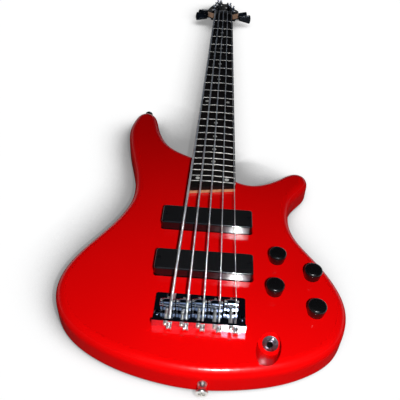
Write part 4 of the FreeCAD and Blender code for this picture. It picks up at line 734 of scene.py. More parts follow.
# Sub-assemblies
@dataclass
class PlainParts:
    """The CAD nodes whose solids have the right shape. Pieces replace all the others."""

    finishes: dict[str, Finish] = field(default_factory=lambda: {
        "body": RED_LACQUER, "neck": MAPLE, "headstock_face": BLACK_FACING, "fretboard": ROSEWOOD,
        "frets": NICKEL_SILVER, "position_dots": PEARL, "nut": GRAPHITE, "truss_rod": ZINC,
        "truss_rod_cover": ABS_BLACK, "neck_ferrules": CHROME, "bridge_plate": CHROME,
        "tuner_housings": BLACK_PLATE, "tuner_bushings": BLACK_CHROME,
        **{f"tuner_post_{name}": BLACK_CHROME for name in STRING_NAMES},
        **{f"tuner_key_{name}": BLACK_PLATE for name in STRING_NAMES},
        "pots": ZINC, "pot_nuts": NICKEL, "control_cover": ABS_BLACK, "battery": BATTERY_CAN,
        "preamp_board": SOLDER_MASK, "neck_pickup_cover": ABS_BLACK,
        "bridge_pickup_cover": ABS_BLACK, "neck_pickup_coils": RESIN, "bridge_pickup_coils": RESIN})

    def dress(self) -> None:
        """Give each node its finish."""
        for name, finish in self.finishes.items():
            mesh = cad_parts[name].data
            mesh.materials.clear()
            mesh.materials.append(finish.material())
            LOG.info("%s: %s", name, finish.name)


@dataclass
class StringSet:
    """Five round-wound strings: ball end, tail run, bend over the saddle, silk turns on a post."""

    diameters: dict[str, float] = field(default_factory=lambda: {
        "b": 3.3, "e": 2.67, "a": 2.16, "d": 1.65, "g": 1.14})
    saddle_backs: dict[str, float] = field(default_factory=lambda: {
        "b": 9.0, "e": 8.5, "a": 6.9, "d": 6.6, "g": 4.2})
    posts: dict[str, tuple[float, float, float]] = field(default_factory=lambda: {
        "b": (-20.52, 37.95, 1.5), "e": (-16.492, 80.025, 1.75), "a": (-12.008, 122.1, 2.0),
        "d": (12.92, 84.15, 2.5), "g": (20.52, 35.97, 3.0)})
    scale: float = 863.6
    nut_thick: float = 5.0
    gap_bridge: float = 18.0
    gap_nut: float = 9.5
    board_top: float = 51.0
    neck_top: float = 45.0
    rise_bridge: float = 5.6
    rise_nut: float = 1.8
    clearance: float = 0.3
    saddle_radius: float = 5.0
    saddle_offset: float = 4.8
    nut_bend: float = 14.0
    body_top: float = 40.0
    # Height of the intonation screws above the body
    screw_height: float = 8.5
    bridge_rear: float = 33.0
    ball_radius: float = 2.5
    ball_long: float = 5.6
    ball_height: float = 3.3
    ball_seat: float = 0.05
    ball_bore: float = 0.9
    ball_edge: float = 0.4
    ball_rim: float = 1.1
    groove_start: float = 1.5
    groove_side: float = 0.5
    groove_deep: float = 0.7
    ball_sides: int = 28
    head_tilt: float = 12.0
    face_thick: float = 2.0
    wrap_height: float = 9.5
    post_radius: float = 5.0
    turn_gap: float = 0.6
    # How far beyond the saddle a string starts to leave it, and has left it, when the saddle slides
    slide_start: float = 10.0
    slide_end: float = 60.0
    sides: int = 10
    bend_steps: int = 12
    nut_steps: int = 5
    post_steps: int = 40
    wrap_steps: int = 6
    # The real wrap wire is 0.2 to 0.6 mm across; it is drawn coarser, so that its turns show
    wrap_share: float = 0.36
    wrap_least: float = 0.6
    wrap_deep_share: float = 0.43
    wrap_deep_most: float = 0.45
    # The wrap thins out on the tail run
    tail_deep_share: float = 0.12
    # Each turn leans a little to the head, as it was wound on from there
    wrap_rise_share: float = 0.36

    @staticmethod
    def step(name: str) -> int:
        """How many strings to the treble side of the middle one a string lies."""
        return STRING_NAMES.index(name) - len(STRING_NAMES) // 2

    def saddle_middle(self, name: str) -> float:
        """Place of a saddle's middle, and of its intonation screw, across the bridge."""
        return self.step(name) * self.gap_bridge - self.saddle_offset

    def line(self, name: str, y: float) -> Vector:
        """Centre of a string's straight run.

        Args:
            name: the string.
            y: place along the scale.
        Returns:
            The centre there.
        """
        share = y / self.scale
        x = self.step(name) * (self.gap_bridge * (1 - share) + self.gap_nut * share)
        rise = self.rise_bridge * (1 - share) + self.rise_nut * share
        return Vector((x, y, self.board_top + rise + self.diameters[name] / 2))

    def head(self) -> Matrix:
        """Frame of the headstock's face side, tilted back behind the nut."""
        spot = Matrix.Translation((0, self.scale + self.nut_thick, self.neck_top))
        return spot @ Matrix.Rotation(math.radians(-self.head_tilt), 4, "X")

    def ball(self, name: str) -> Vector:
        """Centre of a ball end behind the bridge's upstand."""
        y = -self.bridge_rear - self.ball_radius - self.ball_seat
        return Vector((self.line(name, y).x, y, self.body_top + self.ball_height))

    def bend(self, name: str) -> float:
        """Radius of a string's centre as it goes over its saddle."""
        return self.saddle_radius + self.clearance + self.diameters[name] / 2

    def crest(self, name: str) -> tuple[Vector, float]:
        """Where a string bends over its saddle.

        Args:
            name: the string.
        Returns:
            The bend's centre, and the tail run's rise in radians.
        """
        y = -self.saddle_backs[name]
        top = self.line(name, y)
        centre = Vector((top.x, y, top.z - self.bend(name)))
        gap = centre - self.ball(name)
        rise = math.atan2(gap.z, gap.y) + math.asin(self.bend(name) / math.hypot(gap.y, gap.z))
        return centre, rise

    def tail_path(self, name: str) -> list[Vector]:
        """The path from a ball end to the top of its saddle."""
        centre, rise = self.crest(name)
        flat = self.line(name, 1) - self.line(name, 0)
        level = math.atan2(flat.z, flat.y)
        path = [self.ball(name)]
        for step in range(self.bend_steps + 1):
            angle = rise + (level - rise) * step / self.bend_steps
            y = centre.y - self.bend(name) * math.sin(angle)
            z = centre.z + self.bend(name) * math.cos(angle)
            path.append(Vector((self.line(name, y).x, y, z)))
        return path

    def winding(self, name: str) -> list[Vector]:
        """The turns of a string on its post."""
        x, y, turns = self.posts[name]
        inner = -1 if x > 0 else 1
        reach = self.post_radius + self.clearance + self.diameters[name] / 2
        level = self.face_thick + self.wrap_height
        pitch = self.diameters[name] + self.turn_gap
        head = self.head()
        spot = head.inverted() @ self.line(name, self.scale + self.nut_thick)
        base = math.atan2(spot.y - y, spot.x - x)
        first = base + inner * math.acos(reach / math.hypot(spot.x - x, spot.y - y))
        steps = round(turns * self.post_steps)
        path = []
        for step in range(steps + 1):
            angle = first + inner * TURN * turns * step / steps
            height = level - pitch * turns * step / steps
            path.append(head @ Vector((x + reach * math.cos(angle), y + reach * math.sin(angle),
                                       height)))
        return path

    def speaking_path(self, name: str) -> tuple[list[Vector], list[Vector]]:
        """The path from the top of a saddle over the nut, and on to the end of the turns.

        Args:
            name: the string.
        Returns:
            The bare path, and the path that silk covers.
        """
        turns = self.winding(name)
        corner = self.line(name, self.scale + self.nut_thick)
        start = self.tail_path(name)[-1]
        come = (corner - start).normalized()
        leave = (turns[0] - corner).normalized()
        reach = self.nut_bend * math.tan(come.angle(leave) / 2)
        shares = [step / self.nut_steps for step in range(self.nut_steps + 1)]
        bend = [corner - come * reach * (1 - share) ** 2 + leave * reach * share ** 2
                for share in shares]
        return [start, *bend], [bend[-1], *turns]

    def wound_tube(self, path: Sequence[Vector], name: str, deep_share: float) -> Skin:
        """A tube along a path with its wrap wire as a running ridge.

        Args:
            path: points of the string's centre.
            name: the string.
            deep_share: depth between two turns, as a share of their pitch.
        Returns:
            Points and faces.
        """
        radius = self.diameters[name] / 2
        pitch = max(self.wrap_least, self.wrap_share * self.diameters[name])
        raw = np.array([tuple(point) for point in path])
        runs = np.concatenate(([0.0], np.cumsum(np.linalg.norm(np.diff(raw, axis=0), axis=1))))
        count = int(runs[-1] / (pitch / self.wrap_steps))
        at = np.linspace(0, runs[-1], count + 1)
        centres = np.stack([np.interp(at, runs, raw[:, axis]) for axis in range(3)], 1)
        ways = np.gradient(centres, axis=0)
        ways /= np.linalg.norm(ways, axis=1)[:, None]
        side = np.cross(ways[0], (0.0, 0.0, 1.0))
        sides = np.empty_like(ways)
        for level, way in enumerate(ways):
            side = side - way * (side @ way)
            side = side / np.linalg.norm(side)
            sides[level] = side
        ups = np.cross(sides, ways)
        angles = np.linspace(0, TURN, self.sides, endpoint=False)
        deep = min(deep_share * pitch, self.wrap_deep_most * radius)
        phase = (at[:, None] / pitch - angles[None, :] / TURN) % 1
        ridge = np.interp(phase, (0, self.wrap_rise_share, 1), (0, 1, 0))
        reach = radius - deep * (1 - ridge)
        out = (np.cos(angles)[None, :, None] * sides[:, None]
               + np.sin(angles)[None, :, None] * ups[:, None])
        rings = centres[:, None] + reach[..., None] * out
        return loft([[Vector(point) for point in ring] for ring in rings.tolist()])

    def ball_end(self, name: str) -> Skin:
        """A grooved nickel-plated barrel that holds the string's end."""
        half = self.ball_long / 2
        full, bore = self.ball_radius, self.ball_bore
        low = [(bore, bore - half), (bore, -half), (full - self.ball_edge, -half),
               (full, self.ball_edge - half), (full, self.ball_rim - half),
               (full - self.groove_side, self.groove_start - half)]
        top = [(reach, -height) for reach, height in reversed(low)]
        points, faces = loft(turned([*low, (full - self.groove_deep, 0), *top], self.ball_sides))
        where = pointing(self.ball(name), (1, 0, 0))
        return [where @ point for point in points], faces

    def build(self) -> None:
        """Make each string in two pieces that meet on its saddle."""
        for name in STRING_NAMES:
            path = self.tail_path(name)
            tail = Mould().add(self.wound_tube(path, name, self.tail_deep_share))
            tail.add(self.ball_end(name), kind=1)
            held = tail.piece(f"string_{name}_tail", [WOUND_STEEL, NICKEL], None, "string_steel",
                              crease=60)
            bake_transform(held)
            sounding, wrapped = self.speaking_path(name)
            run = Mould().add(self.wound_tube(sounding, name, self.wrap_deep_share))
            run.add(self.wound_tube(wrapped, name, self.wrap_deep_share), kind=1)
            sung = run.piece(f"string_{name}_run", [WOUND_STEEL, SILK], None, "string_steel",
                             replaces=[f"string_{name}"], crease=60)
            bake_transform(sung)
            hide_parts(f"string_{name}")


@dataclass
class Springs:
    """Compression springs on the intonation screws."""

    strings: StringSet
    curls: int = 8
    radius: float = 1.75
    wire: float = 0.6
    upstand_thick: float = 3.0
    sides: int = 8
    curl_steps: int = 24

    def build(self) -> None:
        """Make each spring."""
        strings = self.strings
        half = self.wire / 2
        along = Vector((0, 1, 0))
        arounds = [TURN * side / self.sides for side in range(self.sides)]
        for name in STRING_NAMES:
            start = self.upstand_thick - strings.bridge_rear + half + strings.clearance
            end = -strings.saddle_backs[name] - strings.saddle_radius - half - strings.clearance
            x = strings.saddle_middle(name)
            z = strings.body_top + strings.screw_height
            rings = []
            steps = self.curls * self.curl_steps
            for step in range(steps + 1):
                angle = TURN * self.curls * step / steps
                out = Vector((math.cos(angle), 0, math.sin(angle)))
                spot = Vector((x, start + (end - start) * step / steps, z)) + self.radius * out
                rings.append([spot + half * (math.cos(around) * out + math.sin(around) * along)
                              for around in arounds])
            spring = Mould().add(loft(rings)).piece(
                f"saddle_spring_{name}", [SPRING_STEEL], None, "spring_steel",
                replaces=["saddle_springs"], crease=70)
            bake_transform(spring)


@dataclass
class Fasteners:
    """Screws of the bridge, neck, covers and tuning machines, placed where their solids are."""

    strings: StringSet
    # Each set's thickness of head, and its finish
    sets: dict[str, tuple[float, Finish]] = field(default_factory=lambda: {
        "bridge_screws": (2.0, BLACK_CHROME), "neck_screws": (2.4, NICKEL),
        "cover_screws": (1.2, NICKEL), "tuner_screws": (1.0, BLACK_PLATE)})
    # Screws beyond this place along the neck are on the headstock
    head_start: float = 600.0
    # How far below its head a screw is measured for its shank
    shank_drop: float = 0.1

    def way(self, node: str, spot: Vector) -> Vector:
        """Direction that a screw's head faces.

        Args:
            node: the screw's CAD node.
            spot: a point of the screw.
        Returns:
            The direction.
        """
        tilt = math.radians(self.strings.head_tilt)
        on_head = spot.y > self.head_start
        front = Vector((0, math.sin(tilt), math.cos(tilt))) if on_head else Vector((0, 0, 1))
        behind = node in ("neck_screws", "tuner_screws") or (node == "cover_screws" and not on_head)
        return -front if behind else front

    def screw(self, node: str, solid: list[Vector], high: float) -> tuple[Matrix, ScrewHead, Skin]:
        """One screw in place of a solid.

        Args:
            node: the screw's CAD node.
            solid: the solid's points.
            high: thickness of the head.
        Returns:
            The head's frame, the head, and the shank's skin in that frame.
        """
        facing = pointing((0, 0, 0), self.way(node, solid[0]))
        local = np.array([tuple(facing.inverted() @ point) for point in solid])
        low, top = local.min(axis=0), local.max(axis=0)
        middle = (low + top) / 2
        reach = np.hypot(local[:, 0] - middle[0], local[:, 1] - middle[1])
        shank = float(reach[local[:, 2] < top[2] - high - self.shank_drop].max())
        where = facing @ Matrix.Translation((middle[0], middle[1], top[2] - high))
        foot = float(low[2] - top[2]) + high
        return where, ScrewHead(float(reach.max()), high), thread(shank, foot, 0)

    def build(self) -> None:
        """Make each set of screws."""
        for node, (high, finish) in self.sets.items():
            mould = Mould()
            for solid in islands(node):
                where, head, shank = self.screw(node, solid, high)
                mould.add(head.skin(), where).add(shank, where)
            mould.piece(node + "_turned", [finish], ROOT, "bright_screws", replaces=[node],
                        crease=35)


@dataclass
class Saddles:
    """Barrel saddles: turned grooves, a seat for the string, two socket screws for the height."""

    strings: StringSet
    wide: float = 17.0
    low: float = 45.7
    swell: float = 0.6
    shoulder: float = 2.8
    end_round: float = 0.9
    seat_room: float = 0.3
    ramp: float = 0.3
    ring_marks: tuple[float, ...] = (-4.6,)
    ring_half: float = 0.5
    ring_deep: float = 0.4
    corner: float = 0.5
    screw_side: float = 7.1
    screw_radius: float = 1.2
    screw_foot: float = 42.55
    screw_rise: float = 0.2
    screw_head: float = 0.9
    socket_sides: int = 36
    shank_sides: int = 12
    # Rings in the middle of a barrel, the share of it that they span, and rings at each end
    run_rings: int = 92
    run_share: float = 0.9
    end_rings: int = 6
    arc_steps: int = 20

    def reach(self, name: str, x: float) -> float:
        """Radius of the barrel at a place across it.

        Args:
            name: the saddle's string.
            x: distance from the saddle's middle.
        Returns:
            The radius there.
        """
        plain = self.strings.saddle_radius
        half = self.wide / 2
        seat_half = self.strings.diameters[name] / 2 + self.seat_room
        away = abs(x - self.strings.saddle_offset) - seat_half
        inward = half - self.shoulder - abs(x)
        raised = min(max(away / self.ramp, 0), 1) * min(max(inward / self.ramp, 0), 1)
        ring = max(0.0, *[1 - abs(x - mark) / self.ring_half for mark in self.ring_marks])
        inset = max(0.0, self.end_round - (half - abs(x)))
        rounded = self.end_round - math.sqrt(max(self.end_round ** 2 - inset ** 2, 0))
        return plain + self.swell * raised - self.ring_deep * ring - rounded

    def barrel(self, name: str) -> Skin:
        """The saddle's skin.

        Args:
            name: the saddle's string.
        Returns:
            Points and faces.
        """
        centre, _ = self.strings.crest(name)
        middle = self.strings.saddle_middle(name)
        run = self.run_share
        marks = np.concatenate((np.linspace(-1, -run, self.end_rings)[:-1],
                                np.linspace(-run, run, self.run_rings),
                                np.linspace(run, 1, self.end_rings)[1:])) * self.wide / 2
        angles = [math.pi * step / self.arc_steps for step in range(self.arc_steps + 1)]
        foot, corner = self.low, self.corner
        rings = []
        for mark in marks.tolist():
            reach = self.reach(name, mark)
            arc = [(reach * math.cos(angle), centre.z + reach * math.sin(angle))
                   for angle in angles]
            flat = [(-reach, foot + corner), (corner - reach, foot), (reach - corner, foot),
                    (reach, foot + corner)]
            rings.append([Vector((middle + mark, centre.y + y, z)) for y, z in arc + flat])
        return loft(rings)

    def build(self) -> None:
        """Make each saddle."""
        socket = ScrewHead(self.screw_radius, self.screw_head, Drive.HEX, rim_share=0.75)
        for name in STRING_NAMES:
            centre, _ = self.strings.crest(name)
            top = centre.z + self.strings.saddle_radius + self.screw_rise - self.screw_head
            mould = Mould().add(self.barrel(name))
            for side in (-1, 1):
                x = self.strings.saddle_middle(name) + side * self.screw_side
                where = Matrix.Translation((x, centre.y, top))
                shank = thread(self.screw_radius, self.screw_foot - top, 0, sides=self.shank_sides)
                mould.add(socket.skin(self.socket_sides), where, kind=1).add(shank, where, kind=1)
            # The barrels take the darkened chrome, a painted shade
            mould.piece(f"saddle_{name}_barrel", [SHADED_CHROME, NICKEL], "saddle_" + name,
                        "bridge_chrome", replaces=["saddle_" + name], crease=30)


@dataclass
class IntonationScrews:
    """Long cross-head screws that draw the saddles back and forth."""

    strings: StringSet
    head_seat: float = 33.05
    head_radius: float = 2.4
    head_long: float = 4.0
    shank_radius: float = 1.25
    tip: float = 6.0
    spin: float = 20.0

    def build(self) -> None:
        """Make each screw on the body that turns."""
        head = ScrewHead(self.head_radius, self.head_long, deep_share=0.4, rim_share=0.7)
        strings = self.strings
        height = strings.body_top + strings.screw_height
        for name in STRING_NAMES:
            end = strings.saddle_radius + self.tip - strings.saddle_backs[name]
            spot = (strings.saddle_middle(name), -self.head_seat, height)
            where = pointing(spot, (0, -1, 0), self.spin)
            mould = Mould().add(head.skin(), where)
            mould.add(thread(self.shank_radius, -self.head_seat - end, 0), where)
            mould.piece(f"intonation_screw_{name}_turned", [NICKEL], "intonation_screw_" + name,
                        "bright_screws", replaces=["intonation_screw_" + name], crease=35)


@dataclass
class Knobs:
    """Four tapered knobs with a rounded crown, hollow over the nut, each on its splined shaft."""

    spots: dict[str, tuple[float, float]] = field(default_factory=lambda: {
        "front": (88.06, 79.13), "rear": (82.56, 27.97), "outer_front": (130.03, 55.44),
        "outer_rear": (128.83, 1.01)})
    foot: float = 40.6
    crown: float = 56.2
    foot_radius: float = 9.4
    crown_radius: float = 11.2
    crown_round: float = 3.4
    crown_span: tuple[float, float] = (8, 82)
    crown_steps: int = 9
    dome_high: float = 0.8
    # The dome inside the crown's edge: radius, and drop from its top
    dome: tuple[tuple[float, float], ...] = ((5.6, 0.16), (2.8, 0.03), (0.0, 0.0))
    bevel: float = 0.3
    foot_bevel: float = 0.4
    # The straight side ends this far inside and below the crown's edge
    side_in: float = 0.1
    side_drop: float = 0.6
    hollow_radius: float = 8.0
    hollow_top: float = 43.9
    shaft_radius: float = 3.0
    shaft_foot: float = 26.0
    splines: int = 18
    spline_swing: float = 0.03
    sides: int = 72
    shaft_sides: int = 108

    def cap(self) -> Skin:
        """The knob about the Z axis, from inside its hollow out to the top of its dome."""
        bevel, hollow = self.bevel, self.hollow_radius
        shoulder = self.crown - self.dome_high - self.crown_round
        edge = rounding(self.crown_round, (self.crown_radius - self.crown_round, shoulder),
                        *self.crown_span, self.crown_steps)
        dome = [(reach, self.crown - drop) for reach, drop in self.dome]
        profile = [(self.shaft_radius, self.hollow_top), (hollow - bevel, self.hollow_top),
                   (hollow, self.hollow_top - bevel), (hollow, self.foot + bevel),
                   (hollow + bevel, self.foot), (self.foot_radius - bevel, self.foot),
                   (self.foot_radius, self.foot + self.foot_bevel),
                   (self.crown_radius - self.side_in, shoulder - self.side_drop), *edge, *dome]
        return loft(turned(profile, self.sides))

    def spline(self, angle: float) -> float:
        """Radius of the splined shaft at an angle."""
        return self.shaft_radius * (1 - self.spline_swing * (1 + math.cos(self.splines * angle)))

    def build(self) -> None:
        """Make each knob on the body that turns."""
        cap = self.cap()
        shaft = loft([circle(self.spline, height, self.shaft_sides)
                      for height in (self.shaft_foot, self.hollow_top)])
        for name, (x, y) in self.spots.items():
            where = Matrix.Translation((x, y, 0))
            mould = Mould().add(cap, where).add(shaft, where, kind=1)
            mould.piece(f"knob_{name}_cap", [KNOB_BLACK, ZINC], "knob_" + name, "black_plastic",
                        replaces=["knob_" + name])


@dataclass
class JackSocket:
    """The output jack in its scoop: washer, hexagon nut, bush round a dark bore, and its can."""

    spot: tuple[float, float, float] = (76.56, -37.2, 29.32)
    way: tuple[float, float, float] = (-0.2092, -0.7817, 0.5875)
    spin: float = 12.0
    washer_radius: float = 9.0
    washer_high: float = 0.8
    # The washer's worn edge: distance in from its radius, and height
    washer_edge: tuple[tuple[float, float], ...] = ((0.15, 0.0), (0.0, 0.2), (0.1, 0.7), (0.5, 0.8))
    nut_radius: float = 7.6
    nut_high: float = 2.6
    bush_radius: float = 4.7
    bush_top: float = 5.0
    bore_radius: float = 3.2
    bore_deep: float = 20.0
    play: float = 0.1
    lip_round: float = 0.5
    lip_steps: int = 4
    sleeve_wall: float = 0.4
    sleeve_sink: float = 1.6
    sleeve_bevel: float = 0.2
    can_radius: float = 8.0
    can_top: float = -4.5
    can_foot: float = -26.5
    can_bevel: float = 0.8
    washer_sides: int = 64
    sides: int = 48

    def washer(self) -> Skin:
        """The washer, from the wall of the scoop up."""
        edge = [(self.washer_radius - inward, height) for inward, height in self.washer_edge]
        profile = [(self.bush_radius, 0), *edge, (self.bush_radius, self.washer_high)]
        return loft(turned(profile, self.washer_sides), Ends.JOINED)

    def lip(self) -> Skin:
        """The end of the bush, rounded inside and out."""
        outer, inner = self.bush_radius - self.play, self.bore_radius + self.play
        turn, top = self.lip_round, self.bush_top - self.lip_round
        profile = [(outer, self.washer_high), (outer, top),
                   *rounding(turn, (outer - turn, top), 0, 90, self.lip_steps),
                   *rounding(turn, (inner + turn, top), 90, 180, self.lip_steps),
                   (inner, self.washer_high)]
        return loft(turned(profile, self.sides), Ends.JOINED)

    def sleeve(self) -> Skin:
        """The insulator that lines the bore."""
        bore, wall = self.bore_radius, self.bush_radius - self.sleeve_wall
        top, foot = self.bush_top - self.sleeve_sink, self.bush_top - self.bore_deep
        profile = [(wall, top), (bore + self.play, top), (bore, top - self.sleeve_bevel),
                   (bore, foot), (wall, foot)]
        return loft(turned(profile, self.sides), Ends.JOINED)

    def can(self) -> Skin:
        """The housing inside the body."""
        bush, wide, bevel = self.bush_radius, self.can_radius, self.can_bevel
        top, foot = self.can_top, self.can_foot
        profile = [(bush, top), (wide - bevel, top), (wide, top - bevel), (wide, foot + bevel),
                   (wide - bevel, foot), (bush, foot)]
        return loft(turned(profile, self.sides), Ends.JOINED)

    def build(self) -> None:
        """Make the jack."""
        where = pointing(self.spot, self.way, self.spin)
        nut = hex_nut(self.nut_radius, self.nut_high, self.bush_radius)
        mould = Mould().add(self.washer(), where)
        mould.add(nut, where @ Matrix.Translation((0, 0, self.washer_high)))
        mould.add(self.lip(), where)
        mould.add(self.sleeve(), where, kind=1).add(self.can(), where, kind=1)
        mould.piece("jack_socket_parts", [ZINC, BORE_BLACK], ROOT, "bridge_chrome",
                    replaces=["jack_socket"], crease=30)


@dataclass
class StrapButtons:
    """Two turned buttons for the strap, each with a cross-head screw sunk in its end."""

    # Each button's place on the body, the way it points, its finish and its slot
    places: dict[str, tuple[tuple[float, ...], tuple[float, ...], Finish, str]] = field(
        default_factory=lambda: {
            "tail": ((4.13, -86.74, 22.0), (0, -1, 0), NICKEL, "bridge_chrome"),
            "horn": ((-121.09, 415.6, 24.8), (0, 1, 0), BLACK_PLATE, "black_metal")})
    long: float = 13.0
    base_radius: float = 5.4
    base_high: float = 1.2
    base_bevel: float = 0.4
    waist_radius: float = 4.2
    # Swell of the waist over its least radius, and distance from the wall
    waist: tuple[tuple[float, float], ...] = (
        (0.5, 3.2), (0.1, 5.2), (0.0, 6.8), (0.25, 8.0), (0.9, 9.1))
    head_radius: float = 6.6
    head_thick: float = 3.4
    under_round: float = 0.8
    under_steps: int = 4
    over_round: float = 1.2
    over_steps: int = 6
    round_span: float = 80.0
    sink_radius: float = 3.7
    sink: float = 2.6
    sink_bevel: tuple[float, float] = (0.6, 0.4)
    screw_radius: float = 3.4
    screw_high: float = 1.9
    shank_radius: float = 1.6
    shank_long: float = 25.0
    spin: float = 30.0
    sides: int = 64

    def button(self) -> Skin:
        """The button about the Z axis, from the body's wall out."""
        base, head, long, hole = self.base_radius, self.head_radius, self.long, self.sink_radius
        under, over, span = self.under_round, self.over_round, self.round_span
        neck, seat = long - self.head_thick, long - self.sink
        profile = [(self.shank_radius, 0), (base - self.base_bevel, 0), (base, self.base_bevel),
                   (base, self.base_high),
                   *[(self.waist_radius + swell, height) for swell, height in self.waist],
                   (head - under, neck),
                   *rounding(under, (head - under, neck + under), -span, 0, self.under_steps),
                   *rounding(over, (head - over, long - over), 0, span, self.over_steps),
                   (hole + self.sink_bevel[0], long), (hole, long - self.sink_bevel[1]),
                   (hole, seat), (self.shank_radius, seat)]
        return loft(turned(profile, self.sides), Ends.JOINED)

    def build(self) -> None:
        """Make both buttons."""
        head = ScrewHead(self.screw_radius, self.screw_high)
        seat = Matrix.Translation((0, 0, self.long - self.sink))
        for name, (spot, way, finish, slot) in self.places.items():
            where = pointing(spot, way, self.spin)
            shank = thread(self.shank_radius, -self.shank_long, self.long - self.sink)
            mould = Mould().add(self.button(), where).add(head.skin(), where @ seat, kind=1)
            mould.add(shank, where, kind=1)
            mould.piece(f"{name}_strap_button_turned", [finish, finish], ROOT, slot,
                        replaces=[f"{name}_strap_button"], crease=35)


@dataclass
class PickupScrews:
    """Cross-head tops on the screws that hold the pickups, sunk a little below their covers."""

    middle: float = -3.0
    side: float = 55.75
    foot: float = 52.9
    spin: float = 25.0
    head: ScrewHead = ScrewHead(2.5, 0.32, deep_share=0.85)

    def build(self) -> None:
        """Make the heads of each pickup."""
        for name, y in PICKUP_ROWS.items():
            mould = Mould()
            for side in (-1, 1):
                spot = (self.middle + side * self.side, y, self.foot)
                mould.add(self.head.skin(), pointing(spot, (0, 0, 1), self.spin * side))
            mould.piece(f"{name}_pickup_screw_tops", [BLACK_OXIDE], f"{name}_pickup",
                        "black_plastic")


@dataclass
class PickupLeads:
    """Screened leads from the pickups, through the bores in the body, into the control cavity."""

    height: float = 26.0
    radius: float = 1.6
    start_x: float = 57.55
    end_x: float = 74.05
    ends: dict[str, float] = field(default_factory=lambda: {"neck": 92.0, "bridge": 57.7})
    # Share of the way along a lead, and its drop there
    sag: tuple[tuple[float, float], ...] = ((0, 0), (0.3, 0), (0.6, 0.1), (0.85, 0.25), (1, 0.4))

    def build(self) -> None:
        """Make both leads as one soft line each, sagging a little where they leave their bores."""
        for name, end in self.ends.items():
            start = PICKUP_ROWS[name]
            curve = bpy.data.curves.new(f"{name}_pickup_lead", "CURVE")
            curve.dimensions = "3D"
            curve.bevel_depth = self.radius * MM
            curve.bevel_resolution = 3
            curve.use_fill_caps = True
            line = curve.splines.new("NURBS")
            spots = [(self.start_x + (self.end_x - self.start_x) * share,
                      start + (end - start) * share, self.height - drop)
                     for share, drop in self.sag]
            line.points.add(len(spots) - 1)
            for point, spot in zip(line.points, spots):
                point.co = (*(value * MM for value in spot), 1)
            line.order_u = 3
            line.use_endpoint_u = True
            curve.materials.append(PVC.material())
            lead = bpy.data.objects.new(f"{name}_pickup_lead", curve)
            bpy.context.scene.collection.objects.link(lead)
            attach(lead, ROOT)
            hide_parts("pickup_leads")
            LOG.info("%s pickup lead", name)


# Studio
@dataclass(frozen=True)
class Lamp:
    """A round soft lamp: where it hangs, where it points, its width, its power in watts, its tint.

    A lamp that isn't mirrored fills the shade without a glare, as a lamp behind a polariser does.
    """

    name: str
    spot: tuple[float, float, float]
    aim: tuple[float, float, float]
    across: float
    watts: float
    mirrored: bool = True
    tint: str = "#FFFFFF"

    def build(self) -> None:
        """Hang the lamp."""
        data = bpy.data.lights.new(self.name, "AREA")
        data.shape = "DISK"
        data.size = self.across * MM
        data.energy = self.watts
        data.color = linear(self.tint)[:3]
        thing = bpy.data.objects.new(self.name, data)
        thing.location = Vector(self.spot) * MM
        way = Vector(self.aim) - Vector(self.spot)
        thing.rotation_euler = way.to_track_quat("-Z", "Y").to_euler()
        thing.visible_glossy = self.mirrored
        bpy.context.scene.collection.objects.link(thing)


